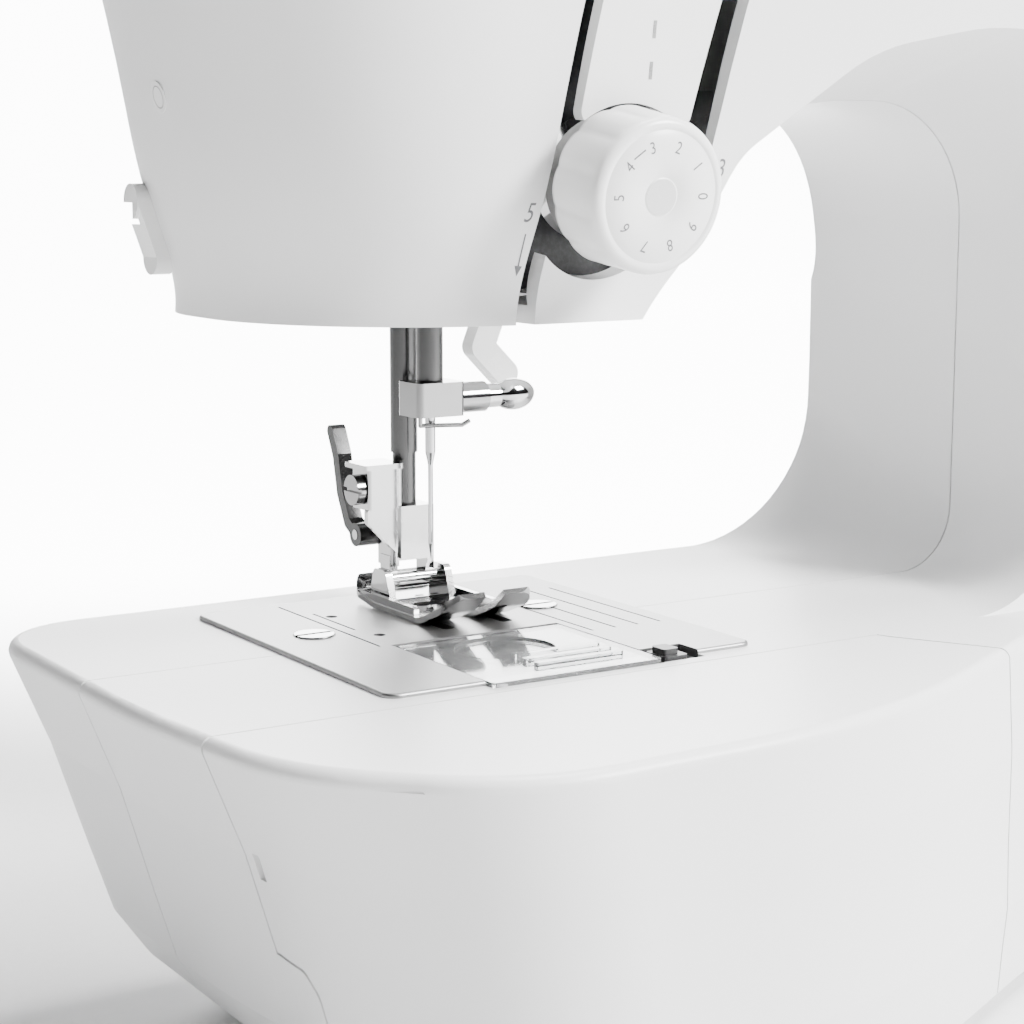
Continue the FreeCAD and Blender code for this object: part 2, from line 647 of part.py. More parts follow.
def connecting_rod():
    y = CRANK_R * math.sin(CRANK_ANGLE)
    z = SHAFT_Z + CRANK_R * math.cos(CRANK_ANGLE)
    x0, x1 = 5.1, 8.7
    big = rod(6.0, (x0, y, z), (x1, y, z))
    small = rod(4.6, (x0, 0, PIN_Z), (x1, 0, PIN_Z))
    strap = bar_path([(x0 + 0.6, y, z), (x0 + 0.6, 0, PIN_Z)], 5.4, 2.4, (1, 0, 0))
    hole = rod(2.6 + RUN, (x0 - 1, y, z), (x1 + 1, y, z))
    low = rod(2.2 + RUN, (x0 - 1, 0, PIN_Z), (x1 + 1, 0, PIN_Z))
    return join(big, small, strap).cut(hole.fuse(low))


def lower_shaft():
    shaft = rod(LOWER_R, (-12.0, 0, LOWER_Z), (206.0, 0, LOWER_Z))
    pulley = toothed(BELT_R, 28, 1, (BELT_X[0] + 0.6, 0, LOWER_Z), (BELT_X[1] - 0.6, 0, LOWER_Z))
    flanges = []
    for x in (BELT_X[0] - 0.8, BELT_X[1] - 0.6):
        flanges.append(rod(BELT_R + 3.2, (x, 0, LOWER_Z), (x + 1.4, 0, LOWER_Z)))
    return join(shaft, pulley, *flanges)


GEAR_SPAN = -HOOK_AT[1]
GEAR_R = (GEAR_SPAN - GEAR_GAP) / 2.0
PINION_R = GEAR_R


def lower_gear():
    x = HOOK_AT[0]
    gear = toothed(GEAR_R, 24, 1, (x - 4, 0, LOWER_Z), (x + 4, 0, LOWER_Z))
    hub = rod(8.0, (x + 4, 0, LOWER_Z), (x + 10, 0, LOWER_Z))
    return join(gear, hub).cut(rod(LOWER_R, (x - 10, 0, LOWER_Z), (x + 20, 0, LOWER_Z)))


def hook_pinion():
    x, y = HOOK_AT
    gear = toothed(PINION_R, 24, 1, (x, y, LOWER_Z - 4), (x, y, LOWER_Z + 4))
    return gear.cut(rod(3.5, (x, y, LOWER_Z - 10), (x, y, LOWER_Z + 10)))


def hook():
    x, y = HOOK_AT
    cup = rod(HOOK_R, (x, y, -26.5), (x, y, -9.0)).cut(rod(HOOK_R - 1.6, (x, y, -24.5), (x, y, 0)))
    rim = tube(HOOK_R, HOOK_R - 3.4, (x, y, -10.6), (x, y, -9.0))
    gap = box(x - 7, x + 7, y + 10, y + 40, -19.0, 0)
    beak = slab([(x + 7, y + HOOK_R - 4.0, 0), (x + 14, y + HOOK_R - 6.0, 0), (x + 7, y + HOOK_R - 1.4, 0)],
                at_z(-14), V(0, 0, 3))
    shaft = rod(3.5, (x, y, -56.0), (x, y, -26.5))
    return join(cup, rim, shaft).cut(gap)


def bobbin_case():
    x, y = HOOK_AT
    r = HOOK_R - 4.0
    cup = rod(r, (x, y, -23.6), (x, y, -6.6)).cut(rod(BOBBIN_R + 1.0, (x, y, -22.0), (x, y, 0)))
    flange = tube(r + 0.2, r - 3.0, (x, y, -8.2), (x, y, -6.6))
    finger = box(x - 3.2, x + 3.2, y - r - 3.0, y - r + 2.0, -8.4, -6.4)
    relief = box(x + 5, x + 30, y - 5, y + 5, -16.0, 0)
    post = rod(2.9, (x, y, -22.2), (x, y, -12.0))
    return join(cup, flange, finger, post).cut(relief)


def bobbin():
    x, y = HOOK_AT
    z = -21.6
    core = rod(3.9, (x, y, z), (x, y, z + BOBBIN_H))
    discs = []
    for zz in (z, z + BOBBIN_H - 1.1):
        disc = rod(BOBBIN_R, (x, y, zz), (x, y, zz + 1.1))
        holes = []
        for i in range(6):
            a = math.radians(60 * i + 15)
            cx = x + 7.0 * math.cos(a)
            cy = y + 7.0 * math.sin(a)
            holes.append(rod(1.1, (cx, cy, zz - 1), (cx, cy, zz + 3)))
        discs.append(disc.cut(holes[0].fuse(holes[1:])))
    return join(core, *discs).cut(rod(2.9 + RUN, (x, y, z - 1), (x, y, z + 20)))


def feed_bar():
    bar = box(-13.5, 13.5, 14.5, 19.0, -16.0, -9.0)
    arms = [box(-13.5, -9.5, -2.0, 15.0, -16.0, -13.5), box(9.5, 13.5, -2.0, 15.0, -16.0, -13.5)]
    return join(bar, *arms)


def feed_dog():
    needle_room = box(-4.4, 4.4, -4.6, 4.6, -10, -5)
    base = box(-8.6, 8.6, -7.6, 11.0, -8.4, -5.6).cut(needle_room)
    parts = [base]
    for x in FEED_ROWS:
        parts.append(box(x - 0.95, x + 0.95, -7.4, 10.8, -6.0, -0.9))
        for i in range(13):
            y = -7.4 + i * 1.4
            tooth = slab([(y, -1.0, 0), (y + 1.4, -1.0, 0), (y + 0.3, -0.1, 0)], at_x(x - 0.95), V(1.9, 0, 0))
            parts.append(tooth)
    return join(*parts)


def belt(a, ra, b, rb, x0, x1, thick):
    """Closed belt round two pulleys in a plane square to X."""
    def hull(grow):
        r0, r1 = ra + grow, rb + grow
        d = V(0, b[0] - a[0], b[1] - a[1])
        length = d.Length
        d.normalize()
        n = V(0, -d.z, d.y)
        s = (r0 - r1) / length
        c = math.sqrt(1 - s * s)
        pts = []
        for sign in (1, -1):
            u = d * s + n * (c * sign)
            pts.append((V(x0, a[0], a[1]) + u * r0, V(x0, b[0], b[1]) + u * r1))
        ring = [pts[0][0], pts[0][1], pts[1][1], pts[1][0], pts[0][0]]
        web = Part.Face(Part.makePolygon(ring)).extrude(V(x1 - x0, 0, 0))
        return join(web, rod(r0, (x0, a[0], a[1]), (x1, a[0], a[1])), rod(r1, (x0, b[0], b[1]), (x1, b[0], b[1])))
    return hull(FIT + thick).cut(hull(FIT))


def handwheel():
    x0, x1 = 253.0, 273.0
    body = rod(WHEEL_R, (x0, 0, SHAFT_Z), (x1, 0, SHAFT_Z))
    body = soften(body, 3.5, lambda e: lie(e, "X", x1) or lie(e, "X", x0))
    dish = Part.makeCone(WHEEL_R - 6, WHEEL_R - 10, 3.0, V(x1 - 3.0, 0, SHAFT_Z), V(1, 0, 0))
    dish = Part.makeCone(WHEEL_R - 11, WHEEL_R - 6, 3.01, V(x1 - 3.0, 0, SHAFT_Z), V(1, 0, 0))
    grooves = []
    for i in range(30):
        a = 2 * math.pi * i / 30
        cy = (WHEEL_R + 0.9) * math.cos(a)
        cz = SHAFT_Z + (WHEEL_R + 0.9) * math.sin(a)
        grooves.append(rod(1.8, (x0 + 4, cy, cz), (x1 - 4.5, cy, cz)))
    hub = rod(10.0, (BODY_RIGHT - 4, 0, SHAFT_Z), (x0 + 1, 0, SHAFT_Z))
    body = body.cut(dish).cut(grooves[0].fuse(grooves[1:])).fuse(hub)
    return body.cut(rod(SHAFT_R, (240, 0, SHAFT_Z), (268.0, 0, SHAFT_Z)))


def motor():
    y, z = MOTOR_AT
    body = rod(MOTOR_R, (126, y, z), (172, y, z))
    body = soften(body, 4.0, lambda e: lie(e, "X", 126.0) or lie(e, "X", 172.0))
    boss = rod(8.0, (171.5, y, z), (176, y, z))
    fins = []
    for i in range(10):
        a = 2 * math.pi * i / 10
        cy = y + (MOTOR_R + 0.4) * math.cos(a)
        cz = z + (MOTOR_R + 0.4) * math.sin(a)
        fins.append(rod(1.6, (134, cy, cz), (164, cy, cz)))
    bore = rod(3.05, (160, y, z), (200, y, z))
    return body.fuse(boss).cut(fins[0].fuse(fins[1:] + [bore]))


def motor_pulley():
    y, z = MOTOR_AT
    shaft = rod(3.0, (164, y, z), (217, y, z))
    wheel = rod(MOTOR_PULLEY_R, (DRIVE_X[0] + 0.4, y, z), (DRIVE_X[1] - 0.4, y, z))
    rims = []
    for x in (DRIVE_X[0] - 1.0, DRIVE_X[1] - 0.4):
        rims.append(rod(MOTOR_PULLEY_R + 2.2, (x, y, z), (x + 1.4, y, z)))
    return join(shaft, wheel, *rims)


def chassis():
    back0, back1 = 21.5, 25.0
    head = box(-19, 5, back0, back1, 60.8, 190)
    shoulder = box(0, 60, back0, back1, 112, 190)
    arm = box(40, 192, back0, back1, 128, 184)
    column = box(146, 192, back0, back1, -36, 150)
    step = box(146, 192, 14, back1, -36, -16)
    bed = box(-48, 192, 14, 18, -54, -14)
    floor = box(-30, 24, -54, 16.5, -62.5, -59.0)
    riser = box(-30, 24, 14, 16.5, -62.5, -54)
    bosses = []
    for z0, z1 in ((59.5, 64.5), (150, 157)):
        bosses.append(box(-4.6, 3.4, 6.2, back0 + 1, z0, z1))
    for x0, x1 in ((22, 34), (176, 188)):
        bosses.append(box(x0, x1, -11, back0 + 1, SHAFT_Z - 11, SHAFT_Z + 11))
    for x0, x1 in ((26, 36), (176, 188)):
        bosses.append(box(x0, x1, -9, 15, LOWER_Z - 9, LOWER_Z + 9))
    hook_post = rod(7.5, (HOOK_AT[0], HOOK_AT[1], -62.5), (HOOK_AT[0], HOOK_AT[1], -48.5))
    cradle_arm = box(-11.0, -4.2, 6.5, back0 + 1, 183.0, 189.0)
    pivot = rod(2.0, (-7.5, -4.6, 187.0), (-7.5, 8.0, 187.0))
    lever_arm = box(-12, -2.0, -27.0, -21.0, 148.0, 156.0)
    lever_leg = box(-19, -11.5, -27.0, back0 + 1, 148.0, 156.0)
    lever_pin = rod(2.5, (-2.5, -24, 152), (SLOT_TOP[0] + 1.2, -24, 152))
    lifter_hole = rod(2.5, (LIFTER_AT[0], 20, LIFTER_AT[1]), (LIFTER_AT[0], 30, LIFTER_AT[1]))
    frame = join(head, shoulder, arm, column, step, bed, floor, riser, hook_post, cradle_arm, pivot, lever_arm,
                 lever_leg, lever_pin, *bosses)
    gear_x = HOOK_AT[0]
    cuts = [lifter_hole, rod(PRESS_R + RUN, (0, PRESS_Y, 50), (0, PRESS_Y, 200)),
            box(-20, 20, 10, 20, -18.5, -10),
            box(gear_x - 6, gear_x + 6, 10, 20, LOWER_Z - 12, LOWER_Z + 12),
            rod(8.0, (20, 0, SHAFT_Z), (190, 0, SHAFT_Z)),
            rod(6.5, (20, 0, LOWER_Z), (190, 0, LOWER_Z)),
            rod(3.5 + RUN, (HOOK_AT[0], HOOK_AT[1], -70), (HOOK_AT[0], HOOK_AT[1], -40)),
            box(5, 50, 15.6, 30, 55, 86),
            box(-13, -1, 18, 30, 92, 120), box(60, 130, 18, 30, 144, 168),
            box(156, 182, 18, 30, 20, 110), box(50, 140, 10, 30, -44, -24)]
    return frame.cut(cuts[0].fuse(cuts[1:]))


def shaft_bushes():
    made = []
    for x0, x1 in ((22, 34), (176, 188)):
        made.append(tube(8.0, SHAFT_R + RUN, (x0, 0, SHAFT_Z), (x1, 0, SHAFT_Z)))
    for x0, x1 in ((26, 36), (176, 188)):
        made.append(tube(6.5, LOWER_R + RUN, (x0, 0, LOWER_Z), (x1, 0, LOWER_Z)))
    return Part.makeCompound(made)


# ------------------------------------------------------------------ presser parts
LIFTER_AT = (-9.0, 70.0)            # X, Z of the lifter's pivot
LIFTER_Y = (16.6, 20.6)


def presser_bar():
    upper = rod(PRESS_R, (0, PRESS_Y, 29.0), (0, PRESS_Y, 176.0))
    lower = rod(2.25, (0, PRESS_Y, 18.5), (0, PRESS_Y, 29.0))
    block = box(-5.2, 3.4, PRESS_Y - 4.2, PRESS_Y + 5.6, 76.0, 84.0)
    tab = box(0.0, 2.0, PRESS_Y + 4.0, 20.2, 71.1, 84.0)
    return join(upper, lower, block, tab)


def presser_spring():
    coil = tube(4.4, 3.2, (0, PRESS_Y, 84.3), (0, PRESS_Y, 149.8))
    cuts = []
    for i in range(12):
        z = 86.5 + i * 5.2
        cuts.append(box(-6, 6, PRESS_Y - 6, PRESS_Y + 6, z, z + 2.6).cut(
            box(-6, 0.01, PRESS_Y - 6, PRESS_Y + 6, z - 1, z + 4)) if i % 2 else
            box(-6, 6, PRESS_Y - 6, PRESS_Y + 6, z, z + 2.6).cut(
            box(-0.01, 6, PRESS_Y - 6, PRESS_Y + 6, z - 1, z + 4)))
    return coil.cut(cuts[0].fuse(cuts[1:]))


def foot_holder():
    """Ankle: clamp block on the bar, satin cheek, and the fork that takes the foot."""
    front = PRESS_Y - 3.9
    rear = PRESS_Y + 4.2
    pin_y, pin_z = RELEASE_PIN
    cheek = box(-3.0, 4.2, front, front + 1.2, 8.9, 19.0)
    ring = box(-3.0, 4.2, front, rear, 12.5, 19.0)
    neck = soft_box(-4.6, 4.8, front + 0.8, PRESS_Y + 3.0, 7.4, 13.0, 0.8)
    gusset = slab([(-9.8, 18.9, 0.6), (-2.9, 18.9, 0), (-2.9, 9.4, 0), (-4.6, 11.0, 1.0), (-9.8, 16.2, 0.8)],
                  at_y(PRESS_Y - 3.2), V(0, 1.4, 0))
    block = soft_box(-9.6, -2.2, PRESS_Y - 3.4, PRESS_Y + 3.4, 18.6, 26.4, 0.7)
    lid = soft_box(-10.8, -2.4, PRESS_Y - 4.2, PRESS_Y + 4.2, 26.4, 27.4, 0.6)
    ear = box(3.0, 4.8, rear - 1.0, pin_y + 1.9, pin_z - 1.9, pin_z + 1.9)
    pin = rod(1.0, (-7.2, pin_y, pin_z), (3.4, pin_y, pin_z))
    fork = []
    for x in (-3.9, 4.1):
        fork.append(box(x - 0.9, x + 0.9, front + 1.4, PRESS_Y + 1.2, 3.7, 9.4))
    whole = join(cheek, ring, neck, gusset, block, lid, ear, pin, *fork)
    slot = box(-3.0, 3.2, front - 1, PRESS_Y + 6, 2.0, 8.4)
    pin_hole = rod(1.0 + RUN, (-9, FOOT_PIN[0], FOOT_PIN[1]), (9, FOOT_PIN[0], FOOT_PIN[1]))
    bar_hole = rod(2.25, (0, PRESS_Y, 14.0), (0, PRESS_Y, 30))
    screw_hole = rod(1.55, (-11.8, PRESS_Y, 22.4), (0, PRESS_Y, 22.4))
    return whole.cut(slot.fuse([pin_hole, bar_hole, screw_hole]))


FOOT_PIN = (PRESS_Y - 3.0, 5.2)     # Y, Z of the pin the foot rocks on
RELEASE_PIN = (PRESS_Y + 7.0, 12.4)  # Y, Z of the release lever's pin


def foot_screw():
    head = rod(2.9, (-11.6, PRESS_Y, 22.4), (-9.9, PRESS_Y, 22.4))
    stem = rod(1.5, (-10.0, PRESS_Y, 22.4), (-2.6, PRESS_Y, 22.4))
    slot = box(-12, -10.9, PRESS_Y - 5, PRESS_Y + 5, 22.0, 22.8)
    return join(head, stem).cut(slot)


def foot_release():
    y, z = RELEASE_PIN
    hub = rod(2.3, (-7.1, y, z), (2.8, y, z))
    arm = bar_path([(-7.1, y, z), (-7.1, y + 3.4, z + 2.0), (-7.1, y + 6.2, z + 7.4),
                    (-7.1, y + 7.8, z + 14.6), (-7.1, y + 10.0, z + 19.2)], 2.4, 3.0, (1, 0, 0))
    return join(hub, arm).cut(rod(1.0 + RUN, (-9, y, z), (6, y, z)))


def presser_foot():
    """Sole with two toes turned up at the front, needle slot, rocking pin."""
    y, z = FOOT_PIN
    heel = y - 0.6                  # the heel rises behind here, so the toes can lift
    side = [(15.2, 4.4, 0), (12.6, 1.55, 3), (heel, 0.45, 4), (-11.0, 0.45, 8), (-18.5, 3.6, 5),
            (-22.5, 6.6, 0), (-23.1, 5.8, 0), (-18.9, 2.5, 5), (-11.2, -0.55, 8), (heel, -0.55, 4),
            (12.8, 0.55, 3), (15.8, 3.7, 0)]
    side = [(v, w + 0.62, r) for v, w, r in side]
    sole = slab(side, at_x(-9.2), V(18.4, 0, 0))
    plan = slab([(-9.2, 15.8, 4), (-9.2, -23.1, 4), (9.2, -23.1, 4), (9.2, 15.8, 4)], at_z(-2), V(0, 0, 20))
    sole = sole.common(plan)
    gap = soft_box(-2.0, 2.0, -45, -5.0, -3, 20, 0.4)
    needle_slot = soft_box(-3.9, 3.9, -1.8, 1.8, -3, 20, 1.7)
    parts = []
    for x in (-8.9, 7.9):
        parts.append(box(x, x + 1.0, -9.0, 12.0, 0.9, 2.6))
    for x in (-6.6, 6.4):
        parts.append(slab([(y - 4.4, 0.9, 0), (y + 4.0, 0.9, 0), (y + 2.4, z + 2.0, 1.4), (y - 2.2, z + 2.0, 1.4)],
                          at_x(x - 0.7), V(1.4, 0, 0)))
    pin = rod(1.0, (-7.0, y, z), (6.8, y, z))
    return join(sole.cut(gap.fuse(needle_slot)), pin, *parts)


def presser_lifter():
    x, z = LIFTER_AT
    y0, y1 = LIFTER_Y
    arm = bar_path([(x, y0, z), (12.0, y0, 66.0), (27.0, y0, 60.0), (22.0, y0, 47.5), (27.5, y0, 42.0)],
                   5.2, y1 - y0, (0, 1, 0))
    hub = rod(5.4, (x, y0, z), (x, y1, z))
    bore = rod(2.5 + RUN, (x, y0 - 1, z), (x, y1 + 1, z))
    return join(arm, hub).cut(bore)


def lifter_pin():
    x, z = LIFTER_AT
    pin = rod(2.5, (x, LIFTER_Y[0] - 0.4, z), (x, 25.0, z))
    head = rod(4.0, (x, LIFTER_Y[0] - 1.6, z), (x, LIFTER_Y[0] - 0.3, z))
    return join(pin, head)


# ------------------------------------------------------------------ dials, levers
def lean_axis():
    return V(0, -math.cos(LEAN), -math.sin(LEAN))


def tension_dial():
    x, z = DIAL_AT
    n = lean_axis()
    face = V(x, -69.0, z)
    back = face - n * DIAL_T
    body = Part.makeCone(DIAL_R + 0.5, DIAL_R, DIAL_T, back, n)
    body = soften(body, 1.4, lambda e: abs(e.BoundBox.Center.distanceToPoint(face)) < 1.0)
    flats = []
    for i in range(24):
        a = 2 * math.pi * (i + 0.5) / 24
        side = V(math.cos(a), 0, 0) + n.cross(V(1, 0, 0)) * math.sin(a)
        flats.append(Part.makeCylinder(2.2, DIAL_T - 3.5, back + side * (DIAL_R + 2.3) - n * 0.5, n))
    body = body.cut(flats[0].fuse(flats[1:]))
    bore = Part.makeCylinder(3.0 + RUN, 7.0, back - n * 1.0, n)
    return body.cut(bore)


def tension_post():
    x, z = DIAL_AT
    n = lean_axis()
    back = V(x, -69.0, z) - n * DIAL_T
    post = Part.makeCylinder(3.0, 17.4, back - n * 12.0, n)
    seat = Part.makeCylinder(6.0, 2.0, back - n * 13.5, n)
    return post.fuse(seat)


def tension_discs():
    x, z = DIAL_AT
    n = lean_axis()
    back = V(x, -69.0, z) - n * DIAL_T
    discs = []
    for off, top, low in ((-9.0, 10.5, 9.0), (-7.2, 9.0, 10.5)):
        discs.append(Part.makeCone(top, low, 1.4, back + n * off, n).cut(
            Part.makeCylinder(3.0 + RUN, 5, back + n * (off - 1), n)))
    coil = Part.makeCylinder(5.4, 3.8, back - n * 5.2, n).cut(Part.makeCylinder(4.2, 6, back - n * 6, n))
    return Part.makeCompound(discs + [coil])


def channel_floor():
    """Dark inner wall behind the thread slots and the dial."""
    wall = slab([(-12, 62.5, 1), (11, 65, 3), (23, 90, 10), (45, 181, 4), (36, 188, 3), (-2.5, 188, 3), (-2.5, 152, 0)],
                at_y(-44.5), V(0, 2.0, 0))
    n = lean_axis()
    hole = Part.makeCylinder(6.0, 30, V(DIAL_AT[0], -69.0, DIAL_AT[1]) - n * (DIAL_T + 20.0), n)
    slit = box(SLOT_TOP[0] - 2.6, SLOT_TOP[0] + 2.6, -60, -30, 149, 182)
    return wall.cut(slit.fuse(hole))


def pattern_dial():
    x, z = PATTERN_AT
    y = -62.0
    body = rod(PATTERN_R, (x, y - 11.0, z), (x, y, z))
    body = soften(body, 2.5, lambda e: lie(e, "Y", y - 11.0))
    grooves = []
    for i in range(24):
        a = 2 * math.pi * i / 24
        cx = x + (PATTERN_R + 0.8) * math.cos(a)
        cz = z + (PATTERN_R + 0.8) * math.sin(a)
        grooves.append(rod(1.7, (cx, y - 8.4, cz), (cx, y + 1, cz)))
    mark = box(x - 0.7, x + 0.7, y - 12, y - 10.4, z + PATTERN_R - 8.5, z + PATTERN_R - 3.5)
    stem = rod(4.6, (x, y - 0.5, z), (x, -36, z))
    return body.cut(grooves[0].fuse(grooves[1:] + [mark])).fuse(stem)


def cam_stack():
    """Pattern cams behind the dial."""
    x, z = PATTERN_AT
    plates = []
    for i in range(5):
        plates.append(rod(14.0 + (i % 3) * 1.2, (x + (i % 2) * 1.4, -35.0 + i * 3.0, z),
                          (x + (i % 2) * 1.4, -33.4 + i * 3.0, z)))
    core = rod(6.0, (x, -36.0, z), (x, -20.0, z))
    return join(core, *plates)


REVERSE_AT = (158.0, -44.0, 52.0)   # X, Y, Z of the reverse lever's pivot


def reverse_lever():
    x, y, z = REVERSE_AT
    hub = rod(5.0, (x - 6, y, z), (x + 6, y, z))
    neck = box(x - 6, x + 6, y - 16.0, y, z - 3.0, z + 3.0)
    paddle = soft_box(x - 7.4, x + 7.4, -66.0, -55.5, z - 9.0, z + 3.4, 2.6)
    return join(hub, neck, paddle).cut(rod(2.05, (x - 9, y, z), (x + 9, y, z)))


def reverse_pin():
    x, y, z = REVERSE_AT
    pin = rod(2.0, (x - 12, y, z), (x + 12, y, z))
    blocks = []
    for side in (-1, 1):
        cx = x + side * 10.0
        blocks.append(box(cx - 2, cx + 2, y - 3.4, y + 3.0, z - 5, z + 5))
    return join(pin, *blocks)


# --------------------------------------------------------------------- top pieces
def carry_handle():
    left, right, front, pivot = GRIP
    w = GRIP_W
    body = slab([(left, front, 6), (right, front, 6), (right, pivot + 3.4, 3), (right - w, pivot + 3.4, 3),
                 (right - w, front + w, 3), (left + w, front + w, 3), (left + w, pivot + 3.4, 3),
                 (left, pivot + 3.4, 3)], at_z(GRIP_Z - 4), V(0, 0, 8))
    rear = pivot - 3.9
    round_end = []
    cut_end = []
    for x0 in (left, right - w):
        round_end.append(rod(3.8, (x0, pivot, GRIP_Z), (x0 + w, pivot, GRIP_Z)))
        cut_end.append(box(x0 - 1, x0 + w + 1, pivot, pivot + 10, GRIP_Z - 10, GRIP_Z + 10))
    body = body.cut(cut_end[0].fuse(cut_end[1])).fuse(round_end)
    bores = []
    for x0 in (left, right - w):
        bores.append(rod(2.1, (x0 - 1, pivot, GRIP_Z), (x0 + w + 1, pivot, GRIP_Z)))
    return body.cut(bores[0].fuse(bores[1]))


def handle_pins():
    left, right, front, pivot = GRIP
    made = []
    for x0, x1 in ((left - 4.0, left + GRIP_W + 0.6), (right - GRIP_W - 0.6, right + 4.0)):
        made.append(rod(2.0, (x0, pivot, GRIP_Z), (x1, pivot, GRIP_Z)))
    return Part.makeCompound(made)


def spool_pin():
    y, z = SPOOL_YZ
    pin = rod(3.0, (SPOOL_X[0] - 2, y, z), (SPOOL_X[1] + 6, y, z))
    collar = rod(9.0, (SPOOL_X[1] - 2.0, y, z), (SPOOL_X[1] + 0.6, y, z))
    return pin.fuse(collar)


def spool_cap():
    y, z = SPOOL_YZ
    cap = Part.makeCone(6.0, 12.0, 6.0, V(SPOOL_X[0] + 2, y, z), V(1, 0, 0))
    nose = rod(5.0, (SPOOL_X[0] - 1.0, y, z), (SPOOL_X[0] + 2.5, y, z))
    return cap.fuse(nose).cut(rod(3.0 + RUN, (SPOOL_X[0] - 5, y, z), (SPOOL_X[0] + 20, y, z)))


def winder_spindle():
    x, y = WINDER_AT
    shaft = rod(2.9, (x, y, 196.0), (x, y, 224.0))
    collar = rod(6.0, (x, y, ARM_TOP + 0.4), (x, y, ARM_TOP + 1.8))
    wheel = rod(9.0, (x, y, 192.0), (x, y, 198.0))
    return join(shaft, collar, wheel)


def winder_stop():
    x, y = WINDER_AT
    return soft_box(x - 4, x + 4, y + 13.5, y + 20.0, ARM_TOP - 3.0, ARM_TOP + 9.0, 2.4)


# -------------------------------------------------------------------- small trim
def left_face_x(z):
    return -49.0 - (z - HEAD_BOTTOM) * 0.232


def thread_cutter():
    y, z0, z1 = 7.0, 65.0, 79.5
    body = bar_path([(left_face_x(z0) - 1.7, y, z0 + 2.4), (left_face_x(z1) - 1.7, y, z1 - 2.4)],
                    6.2, 3.4, (1, 0, 0))
    slot = box(-70, -40, y - 0.7, y + 4.0, z1 - 6.4, z1 - 2.6)
    return body.cut(slot)


def cutter_blade():
    y, z1 = 7.0, 79.5
    x = left_face_x(z1 - 4)
    return box(x - 0.6, x + 0.9, y - 0.7, y + 2.6, z1 - 5.2, z1 - 4.6)


def face_screw_cap():
    z = 94.5
    x = left_face_x(z)
    n = V(-1, 0, -0.232)
    n.normalize()
    base = V(x, -11.0, z) - n * 3.4
    return Part.makeCylinder(2.6, 3.7, base, n)


def lamp():
    lens = soft_box(-31.0, -21.0, -22.0, -12.0, 59.0, 61.0, 2)
    board = soft_box(-32.5, -12.0, -23.5, -10.5, 61.0, 64.5, 2)
    arm = box(-18, -13, -12, 21.5, 61.5, 64.0)
    return join(lens, board, arm)


def inlet_panel():
    """Moulded panel in the right wall with the machine socket and switch room."""
    y0, y1, z0, z1 = -37.7, 11.7, -46.7, -17.3
    panel = box(240.0, 249.6, y0, y1, z0, z1)
    socket = box(243.0, 260, -33.0, -9.0, -42.0, -24.0)
    rocker = box(241.5, 260, -3.2, 9.2, -44.2, -19.8)
    return panel.cut(socket.fuse(rocker)).cut(inlet_pins()).cut(switch_pin())


def inlet_pins():
    made = []
    for i in range(3):
        y = -27.0 + i * 6.0
        made.append(rod(1.2, (241.0, y, -33.0), (248.6, y, -33.0)))
    return Part.makeCompound(made)


def power_switch():
    y, z = 3.0, -32.0
    profile = [(242.6, z - 3.0, 1), (242.6, z + 3.0, 1), (248.0, z + 11.2, 1.2), (249.8, z + 11.4, 0.8),
               (248.0, z, 12), (251.4, z - 11.2, 0.8), (248.4, z - 11.6, 1.0)]
    rocker = slab(profile, at_y(y - 5.6), V(0, 11.2, 0))
    return rocker.cut(rod(1.6, (245.6, y - 6, z), (245.6, y + 6, z)))


def switch_pin():
    return rod(1.5, (245.6, -3.4, -32.0), (245.6, 9.4, -32.0))


def rubber_feet():
    made = []
    for x, y in FEET:
        foot = Part.makeCone(7.0, 8.5, FOOT_DROP, V(x, y, BASE_BOTTOM - FOOT_DROP))
        stem = rod(3.0, (x, y, BASE_BOTTOM - 0.5), (x, y, BASE_BOTTOM + 3.0))
        made.append(foot.fuse(stem))
    return Part.makeCompound(made)


FEET = ((-28.0, -44.0), (-28.0, 10.0), (100.0, -42.0), (222.0, -34.0), (222.0, 10.0), (100.0, 10.0))


def pan_with_posts(pan, inner):
    """Base pan with foot sockets, motor cradle and chassis feet."""
    y, z = MOTOR_AT
    cradle = box(132, 166, y - 16, y + 16, BASE_BOTTOM + 2, z - 12).cut(rod(MOTOR_R + 0.02, (120, y, z), (200, y, z)))
    posts = [cradle]
    for x in (-30.0, 18.0):
        posts.append(box(x - 4, x + 4, -20, -8, BASE_BOTTOM + 2, -62.5))
    for x in (60.0, 176.0):
        posts.append(box(x - 5, x + 5, 13.5, 18, BASE_BOTTOM + 2, -54.0))
    sockets = [rod(3.0, (x, y2, BASE_BOTTOM - 1), (x, y2, BASE_BOTTOM + 3.0)) for x, y2 in FEET]
    return pan.fuse(posts).cut(sockets[0].fuse(sockets[1:]))


def pan_screws():
    made = []
    for x, y in ((-20.0, -30.0), (60.0, -30.0), (150.0, 8.0), (206.0, -20.0)):
        head = rod(3.5, (x, y, BASE_BOTTOM + 0.4), (x, y, BASE_BOTTOM + 2.4))
        cross = box(x - 2.4, x + 2.4, y - 0.5, y + 0.5, BASE_BOTTOM, BASE_BOTTOM + 1.4)
        cross2 = box(x - 0.5, x + 0.5, y - 2.4, y + 2.4, BASE_BOTTOM, BASE_BOTTOM + 1.4)
        made.append(head.cut(cross.fuse(cross2)))
    return Part.makeCompound(made)


def screw_wells():
    wells = []
    for x, y in ((-20.0, -30.0), (60.0, -30.0), (150.0, 8.0), (206.0, -20.0)):
        wells.append(rod(3.5, (x, y, BASE_BOTTOM - 1), (x, y, BASE_BOTTOM + 2.4)))
    return wells[0].fuse(wells[1:])


